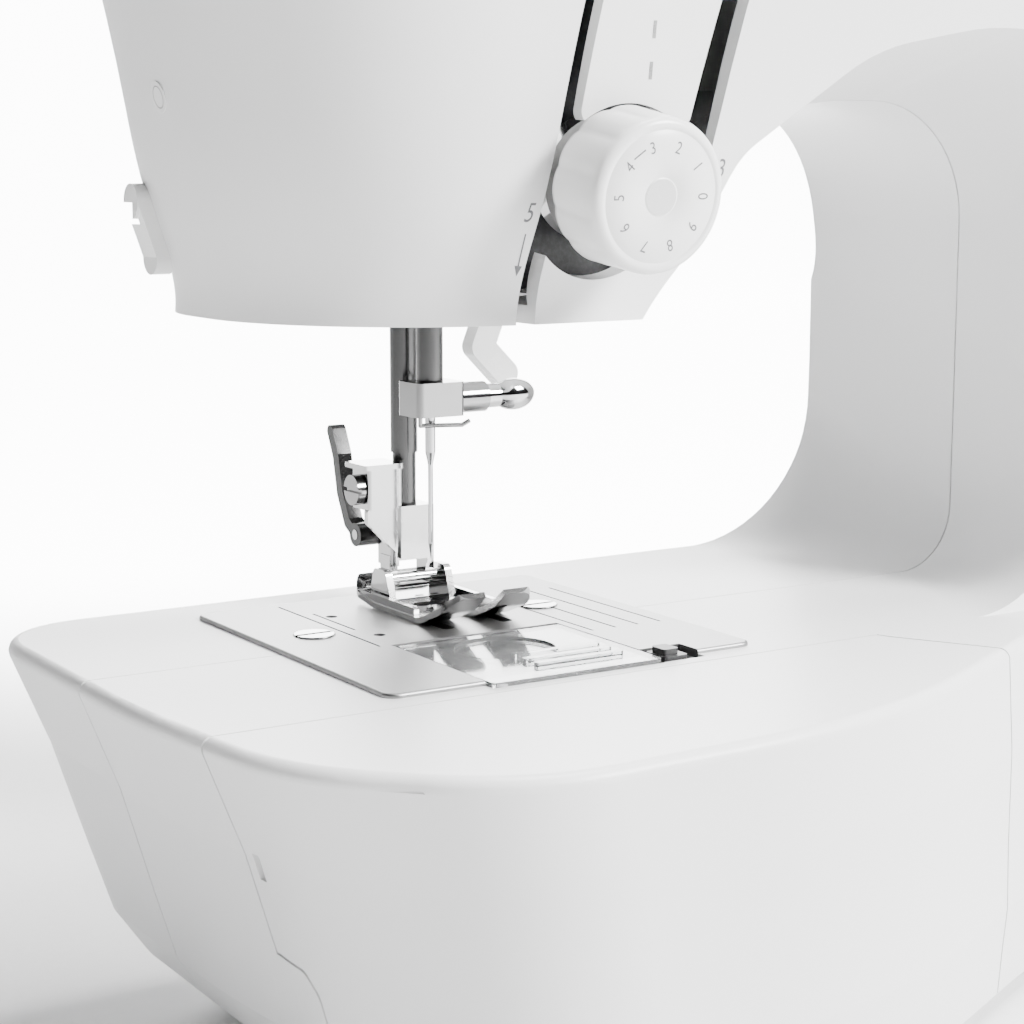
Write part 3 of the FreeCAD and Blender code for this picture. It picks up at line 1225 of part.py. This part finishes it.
# -------------------------------------------------------------------------- export
def pieces():
    """Every piece that needs no casing, by name; small pieces that go together share one."""
    made = {
        "main_shaft": main_shaft().fuse(crank()),
        "lower_shaft": lower_shaft().fuse(lower_gear()),
        "hook": hook().fuse(hook_pinion()),
        "needle_clamp": needle_clamp().fuse(clamp_thread_guide()),
        "tension_discs": Part.makeCompound([tension_post(), tension_discs()]),
        "hinge_pins": Part.makeCompound([lifter_pin(), handle_pins(), switch_pin(), reverse_pin()]),
        "timing_belt": belt((0, LOWER_Z), BELT_R, (0, SHAFT_Z), BELT_R, BELT_X[0] + 0.9, BELT_X[1] - 0.9, 1.8),
        "drive_belt": belt(MOTOR_AT, MOTOR_PULLEY_R, (0, SHAFT_Z), DRIVE_R, DRIVE_X[0] + 0.7,
                           DRIVE_X[1] - 0.7, 1.5),
    }
    builders = (needle_plate, plate_screws, bobbin_cover, release_tab, needle_bar, clamp_screw,
                needle, take_up_lever, needle_cradle, connecting_rod, bobbin_case, bobbin,
                feed_bar, feed_dog, handwheel, motor, motor_pulley, chassis, shaft_bushes,
                presser_bar, presser_spring, foot_holder, foot_screw, foot_release, presser_foot,
                presser_lifter, tension_dial, channel_floor, pattern_dial, cam_stack,
                reverse_lever, carry_handle, spool_pin, spool_cap, winder_spindle, winder_stop,
                thread_cutter, cutter_blade, face_screw_cap, lamp, inlet_panel, inlet_pins,
                power_switch, rubber_feet, pan_screws)
    for builder in builders:
        made[builder.__name__] = builder()
    return made


def main():
    os.makedirs("parts", exist_ok=True)
    made, outer, inner = casings()
    made["base_pan"] = pan_with_posts(made["base_pan"], inner).cut(screw_wells())
    made["face_cover"] = made["face_cover"].cut(face_screw_cap()).cut(thread_cutter())
    made["top_cover"] = made["top_cover"].cut(handle_pins()).cut(winder_stop()).cut(spool_pin())
    made.update(pieces())
    for name in sorted(made):
        shape = made[name].copy()
        shape.translate(SHIFT)
        shape.exportStep("parts/" + name + ".step")


main()
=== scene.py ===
# %% [markdown]
# # A free-arm sewing machine, dressed in Blender
# The machine arrives as a finished mechanical frame: every cover, shaft and screw is
# already the right size and in the right place. This lesson gives each piece its finish,
# rebuilds the few pieces that need finer modelling than a machined solid has, and sets
# up a plain studio. All lengths are metres, +Z is up and -Y is the sewer's side.

import json
import math

import bmesh
import bpy
from mathutils import Matrix, Vector


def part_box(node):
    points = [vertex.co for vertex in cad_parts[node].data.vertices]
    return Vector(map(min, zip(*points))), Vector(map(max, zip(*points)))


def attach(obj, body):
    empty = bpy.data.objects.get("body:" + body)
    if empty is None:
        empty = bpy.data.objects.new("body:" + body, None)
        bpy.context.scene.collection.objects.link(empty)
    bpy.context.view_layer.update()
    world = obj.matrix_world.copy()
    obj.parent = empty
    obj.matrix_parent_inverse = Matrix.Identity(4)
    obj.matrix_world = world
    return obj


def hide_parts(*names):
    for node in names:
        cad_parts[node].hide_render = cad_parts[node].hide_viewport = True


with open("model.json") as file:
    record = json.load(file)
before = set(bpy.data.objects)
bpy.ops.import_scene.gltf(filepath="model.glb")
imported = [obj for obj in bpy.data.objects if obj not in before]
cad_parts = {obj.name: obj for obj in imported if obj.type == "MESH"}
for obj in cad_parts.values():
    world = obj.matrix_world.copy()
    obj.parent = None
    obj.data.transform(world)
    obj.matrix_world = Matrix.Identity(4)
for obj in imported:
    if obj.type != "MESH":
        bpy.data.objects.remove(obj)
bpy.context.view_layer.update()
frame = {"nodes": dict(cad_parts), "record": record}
nodes = frame["nodes"]
print("pieces in the frame:", len(nodes))

# %% [markdown]
# ## Where things are
# The sewer thinks of everything as measured from the needle, so the lesson does too.
# The needle's own box gives its axis, and the needle plate's top gives height zero.
# `near(x, y, z)` turns millimetres measured from there into a point in the scene.

# %% Measuring from the needle
needle_low, needle_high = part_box("needle")
_, plate_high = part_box("needle_plate")
needle_middle = (needle_low + needle_high) / 2
HOME = Vector((needle_middle.x, needle_middle.y, plate_high.z))
MM = 0.001


def near(x, y, z):
    return HOME + Vector((x, y, z)) * MM


print("needle stands at", [round(v, 4) for v in HOME])

# %% [markdown]
# ## Shader maths written as Python
# A node graph is easier to read as an expression. This small class wraps one socket:
# adding or multiplying two wrapped sockets adds the Math node that does it.

# %% One socket, with arithmetic


class Sock:
    def __init__(self, tree, link):
        self.tree = tree
        self.link = link

    def node(self, kind, settings=None, inputs=None, out=0):
        made = self.tree.nodes.new(kind)
        for key, value in (settings or {}).items():
            if key == "stops":
                ramp = made.color_ramp
                while len(ramp.elements) < len(value):
                    ramp.elements.new(0.5)
                for element, (place, shade) in zip(ramp.elements, value):
                    element.position = place
                    element.color = (shade, shade, shade, 1)
            else:
                setattr(made, key, value)
        for key, value in (inputs or {}).items():
            if isinstance(value, Sock):
                self.tree.links.new(value.link, made.inputs[key])
            else:
                made.inputs[key].default_value = value
        return Sock(self.tree, made.outputs[out])

    def math(self, operation, a, b=0.0):
        return self.node("ShaderNodeMath", {"operation": operation}, {0: a, 1: b})

    def __add__(self, other):
        return self.math("ADD", self, other)

    def __radd__(self, other):
        return self.math("ADD", other, self)

    def __sub__(self, other):
        return self.math("SUBTRACT", self, other)

    def __rsub__(self, other):
        return self.math("SUBTRACT", other, self)

    def __mul__(self, other):
        return self.math("MULTIPLY", self, other)

    def __rmul__(self, other):
        return self.math("MULTIPLY", other, self)

    def __truediv__(self, other):
        return self.math("DIVIDE", self, other)

    def clamp(self):
        return self.node("ShaderNodeClamp", {}, {"Value": self})

    def between(self, low, high):
        return self.node("ShaderNodeMapRange", {"interpolation_type": "SMOOTHSTEP"},
                         {"Value": self, "From Min": low, "From Max": high})


def mix_colour(factor, first, second):
    """Colours meet in a Mix node, because a Math node would turn them grey."""
    made = factor.tree.nodes.new("ShaderNodeMix")
    made.data_type = "RGBA"
    factor.tree.links.new(factor.link, made.inputs[0])
    for socket, value in ((made.inputs[6], first), (made.inputs[7], second)):
        if isinstance(value, Sock):
            factor.tree.links.new(value.link, socket)
        else:
            socket.default_value = (*value, 1)
    return Sock(factor.tree, made.outputs[2])


print("socket maths ready")

# %% [markdown]
# ## Starting a finish
# Each finish starts from one Principled shader. Values that are the same all over are
# set on its sockets; what varies is linked. Object coordinates tie grain to the piece
# itself, in metres, so a grain size can be read straight off the code.

# %% Start a finish
FINISHES = {}


def start(name, **fixed):
    material = bpy.data.materials.new(name)
    material.use_nodes = True
    tree = material.node_tree
    tree.nodes.clear()
    output = tree.nodes.new("ShaderNodeOutputMaterial")
    shader = tree.nodes.new("ShaderNodeBsdfPrincipled")
    tree.links.new(shader.outputs[0], output.inputs["Surface"])
    for key, value in fixed.items():
        shader.inputs[key.replace("_", " ")].default_value = value
    place = tree.nodes.new("ShaderNodeTexCoord")
    FINISHES[name] = material
    return Sock(tree, place.outputs["Object"]), shader


def drive(shader, socket, value):
    value.tree.links.new(value.link, shader.inputs[socket])


def noise(place, scale, detail=3.0, rough=0.5, stretch=None):
    if stretch is not None:
        place = place.node("ShaderNodeVectorMath", {"operation": "MULTIPLY"}, {0: place, 1: stretch})
    return place.node("ShaderNodeTexNoise", {}, {"Vector": place, "Scale": scale, "Detail": detail,
                                                 "Roughness": rough})


def bump(shader, height, strength, distance):
    made = height.node("ShaderNodeBump", {}, {"Height": height, "Strength": strength,
                                              "Distance": distance})
    drive(shader, "Normal", made)


print("finishes can be started")

# %% [markdown]
# ## Moulded white plastic
# The covers are injection moulded with a very fine spark-eroded texture: almost smooth,
# satin rather than glossy. A grain of about 0.4 mm, felt more than seen, breaks up the
# highlight, and a slow drift of tone keeps large faces from looking like paper.

# %% Satin white covers


def white_plastic(name, tone, rough, grain, spread):
    place, shader = start(name, IOR=1.46)
    fine = noise(place, 1 / grain, 4.0, 0.6)
    slow = noise(place, 9.0, 2.0)
    dust = noise(place, 60.0, 5.0, 0.7).between(0.60, 0.78)
    shade = (slow * 0.6 + dust * 0.4).clamp()
    drive(shader, "Base Color", mix_colour(shade, tone, [c * 0.965 for c in tone]))
    drive(shader, "Roughness", rough + (fine - 0.5) * spread + dust * 0.04)
    bump(shader, fine, 0.10, 0.00006)


white_plastic("moulded_white", (0.80, 0.80, 0.80), 0.38, 0.0004, 0.10)
white_plastic("smooth_white", (0.83, 0.83, 0.825), 0.26, 0.0007, 0.06)
white_plastic("dial_pad", (0.62, 0.62, 0.62), 0.40, 0.0006, 0.08)
print("white plastics:", len(FINISHES))

# %% [markdown]
# ## Metals
# Four metals show. The needle plate is satin, etched steel with a faint speckle. The
# foot and its holder are polished chrome. The needle clamp and the holder's screw are the
# same chrome, darkened as a painted dark reflection. The bars are ground dark steel, with
# a fine grain stretched along one direction. The other metals here dress the works inside the casing.

# %% Plate, chrome and bars


def metal(name, tone, rough, grain, spread, depth, stretch=None, marks=0.0):
    place, shader = start(name, Metallic=1.0)
    fine = noise(place, 1 / grain, 5.0, 0.65, stretch)
    cloud = noise(place, 40.0, 3.0)
    shade = (fine * 0.55 + cloud * 0.45).clamp()
    darker = [c * (1 - spread) for c in tone]
    lighter = [min(1.0, c * (1 + spread)) for c in tone]
    drive(shader, "Base Color", mix_colour(shade, darker, lighter))
    value = rough + (fine - 0.5) * spread * 0.5 + (cloud - 0.5) * 0.06
    if marks:
        scuffs = noise(place, 700.0, 6.0, 0.75, (1, 8, 1)).between(0.60, 0.72)
        value = value + scuffs * marks
    drive(shader, "Roughness", value.clamp())
    bump(shader, fine, 0.25, depth)


metal("satin_plate", (0.31, 0.31, 0.31), 0.42, 0.0005, 0.16, 0.00003)
metal("polished_chrome", (0.54, 0.54, 0.54), 0.10, 0.0020, 0.06, 0.00001, marks=0.10)
metal("needle_steel", (0.62, 0.62, 0.63), 0.16, 0.0009, 0.08, 0.00001, (1, 1, 0.1))
metal("ground_bar", (0.11, 0.11, 0.11), 0.24, 0.0006, 0.20, 0.00002, (0.2, 0.2, 3))
# Painted dark reflection: the same chrome as the polished one, given a darker tone.
metal("chrome_with_painted_dark_reflection", (0.30, 0.30, 0.30), 0.14, 0.0016, 0.10, 0.00001, marks=0.08)
metal("cast_alloy", (0.46, 0.46, 0.47), 0.52, 0.0012, 0.18, 0.00010)
metal("sintered_bronze", (0.50, 0.34, 0.16), 0.45, 0.0006, 0.18, 0.00004)
metal("contact_brass", (0.70, 0.52, 0.22), 0.28, 0.0010, 0.10, 0.00002)
metal("motor_case", (0.10, 0.10, 0.105), 0.48, 0.0010, 0.20, 0.00006)
print("plastics and metals:", len(FINISHES))

# %% [markdown]
# ## Dark plastics, rubber and clear plastic
# The release tab and the socket panel are dark moulded plastic. The
# bobbin cover is clear, so the light goes through it and the rim of the plate shows.

# %% Dark and clear finishes


def dark(name, tone, rough, grain, depth):
    place, shader = start(name, IOR=1.48)
    fine = noise(place, 1 / grain, 4.0, 0.6)
    lighter = [c * 1.5 + 0.004 for c in tone]
    drive(shader, "Base Color", mix_colour(fine.between(0.35, 0.7), tone, lighter))
    drive(shader, "Roughness", rough + (fine - 0.5) * 0.16)
    bump(shader, fine, 0.3, depth)


dark("dark_plastic", (0.022, 0.022, 0.023), 0.42, 0.0006, 0.00005)
dark("grey_plastic", (0.16, 0.16, 0.165), 0.46, 0.0008, 0.00006)
dark("black_enamel", (0.010, 0.010, 0.010), 0.20, 0.0030, 0.00001)
dark("belt_rubber", (0.018, 0.018, 0.018), 0.72, 0.0005, 0.00008)
dark("foot_rubber", (0.045, 0.045, 0.045), 0.78, 0.0006, 0.00010)
dark("printed_ink", (0.10, 0.10, 0.105), 0.50, 0.0004, 0.00001)
# This finish is the real ink of the channel dashes and also the painted gap shadow round the cap.
dark("pale_print_and_painted_gap_shadow", (0.20, 0.20, 0.20), 0.50, 0.0004, 0.00001)

place, shader = start("clear_plastic", IOR=1.45, Transmission_Weight=0.92)
haze = noise(place, 900.0, 4.0, 0.6)
drive(shader, "Base Color", mix_colour(haze.between(0.3, 0.8), (0.93, 0.94, 0.94), (0.86, 0.87, 0.88)))
drive(shader, "Roughness", 0.05 + haze.between(0.5, 0.8) * 0.10)
bump(shader, haze, 0.08, 0.00002)

place, shader = start("lamp_lens", IOR=1.45, Transmission_Weight=0.6)
ribs = noise(place, 600.0, 2.0)
drive(shader, "Base Color", mix_colour(ribs, (0.95, 0.95, 0.93), (0.85, 0.85, 0.83)))
drive(shader, "Roughness", 0.35 + ribs * 0.2)
print("all finishes:", len(FINISHES))

# %% [markdown]
# ## Which piece wears which finish
# The frame's own pieces keep their exact shape and only swap their material.

# %% Dress the frame's pieces
WEAR = {
    "moulded_white": ["accessory_tray", "base_pan", "front_cover", "rear_cover", "face_cover", "top_cover"],
    "smooth_white": ["channel_cover", "handwheel", "presser_lifter", "tension_dial", "pattern_dial",
                     "reverse_lever", "carry_handle", "spool_pin", "spool_cap", "winder_stop",
                     "thread_cutter", "face_screw_cap"],
    "satin_plate": ["needle_plate"],
    "chrome_with_painted_dark_reflection": ["needle_clamp", "foot_screw"],
    "polished_chrome": ["plate_screws", "clamp_screw", "take_up_lever", "foot_holder",
                        "presser_foot", "tension_discs", "winder_spindle"],
    "needle_steel": ["needle"],
    "ground_bar": ["needle_bar", "presser_bar", "main_shaft", "lower_shaft", "hook", "feed_bar",
                   "feed_dog", "presser_spring", "hinge_pins", "cutter_blade", "pan_screws"],
    "cast_alloy": ["needle_cradle", "connecting_rod", "chassis"],
    "sintered_bronze": ["shaft_bushes"],
    "contact_brass": ["inlet_pins"],
    "motor_case": ["motor"],
    "dark_plastic": ["release_tab", "bobbin_case", "motor_pulley", "channel_floor", "inlet_panel",
                     "power_switch"],
    "grey_plastic": ["cam_stack"],
    "black_enamel": ["foot_release"],
    "belt_rubber": ["timing_belt", "drive_belt"],
    "foot_rubber": ["rubber_feet"],
    "clear_plastic": ["bobbin_cover", "bobbin"],
    "lamp_lens": ["lamp"],
}


def wear(piece, finish):
    piece.data.materials.clear()
    piece.data.materials.append(FINISHES[finish])


for finish, names in WEAR.items():
    for name in names:
        wear(nodes[name], finish)
dressed = sum(len(names) for names in WEAR.values())
print("dressed", dressed, "of", len(nodes))

# %% [markdown]
# ## Modelling helpers
# A new piece is a small mesh written in millimetres from the needle. `place_piece` gives
# it a finish, lets it ride on the body it belongs to and, when it is a finer version of
# a frame piece, stands in for that piece.

# %% Helpers for new pieces


def place_piece(name, work, finish, body, stands_for=None):
    mesh = bpy.data.meshes.new(name)
    work.normal_update()
    work.to_mesh(mesh)
    work.free()
    mesh.transform(Matrix.Translation(HOME) @ Matrix.Scale(MM, 4))
    made = bpy.data.objects.new(name, mesh)
    bpy.context.scene.collection.objects.link(made)
    for face in mesh.polygons:
        face.use_smooth = True
    wear(made, finish)
    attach(made, body)
    if stands_for:
        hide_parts(stands_for)
    return made


IN_FRONT = -160
PRINT_LIFT = 0.04


def surface_y(name, x, z):
    """Where a sewer-side wall is met at x, z: a line is shot at the piece along +Y."""
    hit, where, _, _ = nodes[name].ray_cast(near(x, IN_FRONT, z), Vector((0, 1, 0)))
    if not hit:
        raise ValueError("no surface of " + name + " at " + str((x, z)))
    return (where.y - HOME.y) / MM - PRINT_LIFT


def glyph(text, height):
    """Outline of a figure as flat triangles, centred, with the stated cap height."""
    curve = bpy.data.curves.new("figure", "FONT")
    curve.body = text
    curve.resolution_u = 6
    holder = bpy.data.objects.new("figure", curve)
    bpy.context.scene.collection.objects.link(holder)
    flat = holder.evaluated_get(bpy.context.evaluated_depsgraph_get()).to_mesh()
    points = [v.co.copy() for v in flat.vertices]
    faces = [list(f.vertices) for f in flat.polygons]
    bpy.data.objects.remove(holder)
    low = Vector((min(p.x for p in points), min(p.y for p in points)))
    high = Vector((max(p.x for p in points), max(p.y for p in points)))
    scale = height / (high.y - low.y)
    middle = (low + high) / 2
    return [((p.x - middle.x) * scale, (p.y - middle.y) * scale) for p in points], faces


def add_flat(work, points, faces):
    verts = [work.verts.new(p) for p in points]
    for face in faces:
        work.faces.new([verts[i] for i in face])


print("helpers ready")

# %% [markdown]
# ## The tension dial
# The knob is turned round its own axis, which leans 8.5 degrees forward. Twelve shallow
# facets fade in behind the rounded rim, and a hairline groove rings the numbered face.

# %% Tension dial
LEAN = math.radians(8.5)
DIAL = Vector((2.5, -69.0, 78.4))
DIAL_OUT = Vector((0, -math.cos(LEAN), -math.sin(LEAN)))
DIAL_UP = Vector((0, -math.sin(LEAN), math.cos(LEAN)))
DIAL_RIGHT = Vector((1, 0, 0))


def on_dial(right, up, out=0.0):
    return DIAL + DIAL_RIGHT * right + DIAL_UP * up + DIAL_OUT * out


profile = [(2.95, 0.0), (3.05, -0.12), (3.25, -0.12), (3.4, 0.0), (10.45, 0.0), (10.6, -0.16),
           (10.75, -0.16), (10.9, 0.0), (11.5, -0.06), (12.1, -0.32), (12.5, -0.8), (12.72, -1.5),
           (12.8, -2.4), (12.9, -4.5), (13.0, -8.0), (13.1, -11.0), (12.9, -11.9), (4.0, -12.0)]
around = 144
work = bmesh.new()
rings = []
for radius, depth in profile:
    fade = min(1.0, max(0.0, (-depth - 0.8) / 2.0)) * min(1.0, radius / 12.0)
    ring = []
    for i in range(around):
        angle = 2 * math.pi * i / around
        flat = 0.36 * fade * (1 - abs(math.cos(6 * angle))) ** 1.5
        r = radius - flat
        ring.append(work.verts.new(on_dial(r * math.sin(angle), r * math.cos(angle), depth)))
    rings.append(ring)
middle_point = work.verts.new(on_dial(0, 0, 0))
for i in range(around):
    j = (i + 1) % around
    work.faces.new((middle_point, rings[0][j], rings[0][i]))
    for inner, outer in zip(rings[:-1], rings[1:]):
        work.faces.new((inner[i], inner[j], outer[j], outer[i]))
bmesh.ops.recalc_face_normals(work, faces=work.faces)
place_piece("dial_knob", work, "smooth_white", "tension_knob", "tension_dial")
print("dial knob turned,", len(profile), "rings")

# %% [markdown]
# ## Figures on the dial
# Ten figures stand on a ring 8.2 mm from the axis, 36 degrees apart, tops outward, and
# count down clockwise. The set mark is a short stroke between 3 and 4.

# %% Dial figures
FIGURE_RING = 8.2
MARK_RING = 8.35
FIGURE_HEIGHT = 1.95
FIGURE_SQUEEZE = 0.86
FIRST_FIGURE = 17.5
SET_MARK = -36.5
PRINT_OUT = 0.03


def on_ring(radius, angle, px, py):
    """A point px across and py outward of the ring's point at this angle."""
    right = (radius + py) * math.sin(angle) + px * math.cos(angle)
    up = (radius + py) * math.cos(angle) - px * math.sin(angle)
    return on_dial(right, up, PRINT_OUT)


work = bmesh.new()
for step, text in enumerate("2109876543"):
    angle = math.radians(FIRST_FIGURE + 36 * step)
    points, faces = glyph(text, FIGURE_HEIGHT)
    add_flat(work, [on_ring(FIGURE_RING, angle, px * FIGURE_SQUEEZE, py) for px, py in points], faces)
angle = math.radians(SET_MARK)
stroke = [(-1.25, -0.13), (1.25, -0.13), (1.25, 0.13), (-1.25, 0.13)]
add_flat(work, [on_ring(MARK_RING, angle, px, py) for px, py in stroke], [(0, 1, 2, 3)])
place_piece("dial_figures", work, "printed_ink", "tension_knob")

PAD_RADIUS = 2.9
PAD_POINTS = 48
work = bmesh.new()
ring = []
for i in range(PAD_POINTS):
    angle = 2 * math.pi * i / PAD_POINTS
    ring.append(on_dial(PAD_RADIUS * math.sin(angle), PAD_RADIUS * math.cos(angle), 0.02))
add_flat(work, ring, [tuple(range(PAD_POINTS))])
place_piece("dial_centre", work, "dial_pad", "tension_knob")
print("dial figures placed")

# %% [markdown]
# ## Prints beside the thread path
# The threading step 5 and its arrow sit left of the slot, step 3 sits right of the
# dial, and a dashed line runs up the channel cover. Each print lies on the wall: every
# point is pushed back along +Y until it meets the moulding.

# %% Wall prints


def wall_print(name, wall, shapes, finish):
    work = bmesh.new()
    for points, faces in shapes:
        add_flat(work, [Vector((x, surface_y(wall, x, z), z)) for x, z in points], faces)
    place_piece(name, work, finish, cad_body[wall])


def leaning(text, height, x, z, lean, squeeze=0.8):
    points, faces = glyph(text, height)
    return [(x + px * squeeze + py * lean, z + py) for px, py in points], faces


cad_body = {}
for body_name, names in frame["record"]["behaviour"]["bodies"].items():
    for node_name in names:
        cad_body[node_name] = body_name

tail, tip = Vector((-12.30, 72.4)), Vector((-12.95, 65.5))
along = (tip - tail).normalized()
across = Vector((-along.y, along.x))
shaft_end = tip - along * 1.7
shaft_marks = []
for i in range(5):
    spot = tail + (shaft_end - tail) * (i / 4)
    shaft_marks += [spot + across * 0.14, spot - across * 0.14]
shaft_faces = [(2 * i, 2 * i + 1, 2 * i + 3, 2 * i + 2) for i in range(4)]
head = [shaft_end + across * 0.72, shaft_end - across * 0.72, tip]
wall_print("step_five", "face_cover", [leaning("5", 3.1, -12.05, 75.85, 0.24),
                                       ([tuple(p) for p in shaft_marks], shaft_faces),
                                       ([tuple(p) for p in head], [(0, 1, 2)])], "printed_ink")
wall_print("step_three", "front_cover", [leaning("3", 3.1, 25.5, 82.85, 0.12)], "printed_ink")
DASH_FOOT = 97.2
DASH_PITCH = 6.55
DASH_HALF = 0.34
DASH_STEP = 0.95
dashes = []
for i in range(10):
    z = DASH_FOOT + DASH_PITCH * i
    x = 9.15 + 0.06 * i
    points = []
    for j in range(4):
        points += [(x - DASH_HALF, z + j * DASH_STEP), (x + DASH_HALF, z + j * DASH_STEP)]
    dashes.append((points, [(2 * j, 2 * j + 1, 2 * j + 3, 2 * j + 2) for j in range(3)]))
wall_print("channel_dashes", "channel_cover", dashes, "pale_print_and_painted_gap_shadow")
print("prints placed")

# %% [markdown]
# ## Painted shadow round the flush cap
# The round cap in the left wall is only seen by the dark gap around it. That gap's shade is
# painted: a thin dark ring is laid on the wall round the cap.

# %% Painted gap shadow ring
work = bmesh.new()
cap_low, cap_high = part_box("face_screw_cap")
centre = ((cap_low + cap_high) / 2 - HOME) / MM
out = Vector((-1, 0, -0.232)).normalized()
side_a = Vector((0, 1, 0))
side_b = out.cross(side_a)
GAP_POINTS = 56
rings = []
for radius in (1.72, 1.92):
    ring = []
    for i in range(GAP_POINTS):
        angle = 2 * math.pi * i / GAP_POINTS
        spot = centre + side_a * radius * math.cos(angle) + side_b * radius * math.sin(angle)
        hit, where, _, _ = nodes["face_screw_cap"].ray_cast(HOME + (spot + out * 20) * MM, -out)
        ring.append(work.verts.new((where - HOME) / MM + out * 0.03 if hit else spot + out * 1.9))
    rings.append(ring)
for i in range(GAP_POINTS):
    j = (i + 1) % GAP_POINTS
    work.faces.new((rings[0][i], rings[0][j], rings[1][j], rings[1][i]))
# Painted shadow: a flat dark ring stands in for the shade inside the gap round the cap.
place_piece("cap_gap_painted_shadow", work, "pale_print_and_painted_gap_shadow", "machine")
print("gap ring placed")

# %% [markdown]
# ## The studio
# The camera stands low at the front left, close to the needle, so the column runs out of
# the frame.

# %% Camera
TURN = math.radians(32.35)
DIP = math.radians(9.25)
look = Vector((math.sin(TURN) * math.cos(DIP), math.cos(TURN) * math.cos(DIP), -math.sin(DIP)))
camera_data = bpy.data.cameras.new("view")
camera_data.lens = 76.64
camera_data.sensor_width = 36.0
camera_data.clip_start = 0.01
camera = bpy.data.objects.new("view", camera_data)
camera.location = near(-204.3, -351.2, 84.7)
camera.rotation_euler = look.to_track_quat("-Z", "Y").to_euler()
bpy.context.scene.collection.objects.link(camera)
bpy.context.scene.camera = camera
print("camera stands at", [round(v, 3) for v in camera.location])

# %% [markdown]
# ## Floor and background
# A pale paper sweep lies flat under the machine and curves up far behind it. Its glow
# makes the background white. The glow is a wedge on the floor that opens away from the
# camera's own place. That ties the light to one viewpoint, and from behind the wedge can
# be seen on the floor. A glow that depends on depth alone would be the better way.

# %% Floor
floor_mesh = bpy.data.meshes.new("floor")
work = bmesh.new()
REACH = 3.0
RISE = 2.4
BEND = 0.9
BEND_START = 1.6
BEND_STEPS = 14
rows = [(-REACH, 0.0)]
for i in range(BEND_STEPS + 1):
    angle = math.pi / 2 * i / BEND_STEPS
    rows.append((BEND_START + BEND * math.sin(angle), BEND * (1 - math.cos(angle))))
rows.append((BEND_START + BEND, RISE))
strip = [[work.verts.new((x, y, z)) for x in (-REACH, REACH)] for y, z in rows]
for low, high in zip(strip[:-1], strip[1:]):
    work.faces.new((low[0], low[1], high[1], high[0]))
for face in work.faces:
    face.smooth = True
work.to_mesh(floor_mesh)
work.free()
floor = bpy.data.objects.new("floor", floor_mesh)
bpy.context.scene.collection.objects.link(floor)
place, shader = start("paper_sweep", Roughness=0.85, Emission_Strength=10.0)
fibre = noise(place, 400.0, 4.0)
drive(shader, "Base Color", mix_colour(fibre, (0.78, 0.78, 0.78), (0.83, 0.83, 0.83)))


def dot(vector, direction):
    inputs = {0: vector, 1: direction}
    return vector.node("ShaderNodeVectorMath", {"operation": "DOT_PRODUCT"}, inputs, out=1)


APEX_BACK = 0.43
APEX_SIDE = 0.087
forward = dot(place, (0.535, 0.845, 0))
sideways = dot(place, (0.845, -0.535, 0)) + APEX_SIDE
slope = sideways.math("ABSOLUTE", sideways) / (forward + APEX_BACK)
lit = forward.between(0.10, 0.42) * (1 - slope.between(0.25, 0.36))
drive(shader, "Emission Color", mix_colour(lit, (0.0, 0.0, 0.0), (1.0, 1.0, 1.0)))
wear(floor, "paper_sweep")
print("sweep laid,", len(rows), "rows")

# %% [markdown]
# ## Lights
# A strong square light at the front right and one almost overhead make the fronts and
# tops bright and leave the left sides grey. The room adds very little.

# %% Lights and room


def soft_light(name, where, target, size, power):
    data = bpy.data.lights.new(name, "AREA")
    data.size = size
    data.energy = power
    light = bpy.data.objects.new(name, data)
    light.location = where
    light.rotation_euler = (Vector(target) - Vector(where)).to_track_quat("-Z", "Y").to_euler()
    bpy.context.scene.collection.objects.link(light)


middle = near(60, 0, 60)
soft_light("key", (1.0, -1.35, 1.25), middle, 0.7, 165)
soft_light("top", (0.35, 0.0, 1.7), middle, 0.6, 60)
ROOM = 0.035
world = bpy.data.worlds.new("room")
bpy.context.scene.world = world
world.use_nodes = True
sky = world.node_tree
direction = Sock(sky, sky.nodes.new("ShaderNodeTexCoord").outputs["Generated"])
height = direction.node("ShaderNodeSeparateXYZ", {}, {0: direction}, out=2)
depth = direction.node("ShaderNodeSeparateXYZ", {}, {0: direction}, out=1)
bright = (height.between(-0.05, 0.75) * 0.62 + depth.between(-0.35, 0.5) * 0.72).clamp() + 0.06
background = sky.nodes["Background"]
background.inputs[0].default_value = (1, 1, 1, 1)
sky.links.new((bright * ROOM).link, background.inputs[1])
print("studio ready, room strength", ROOM)
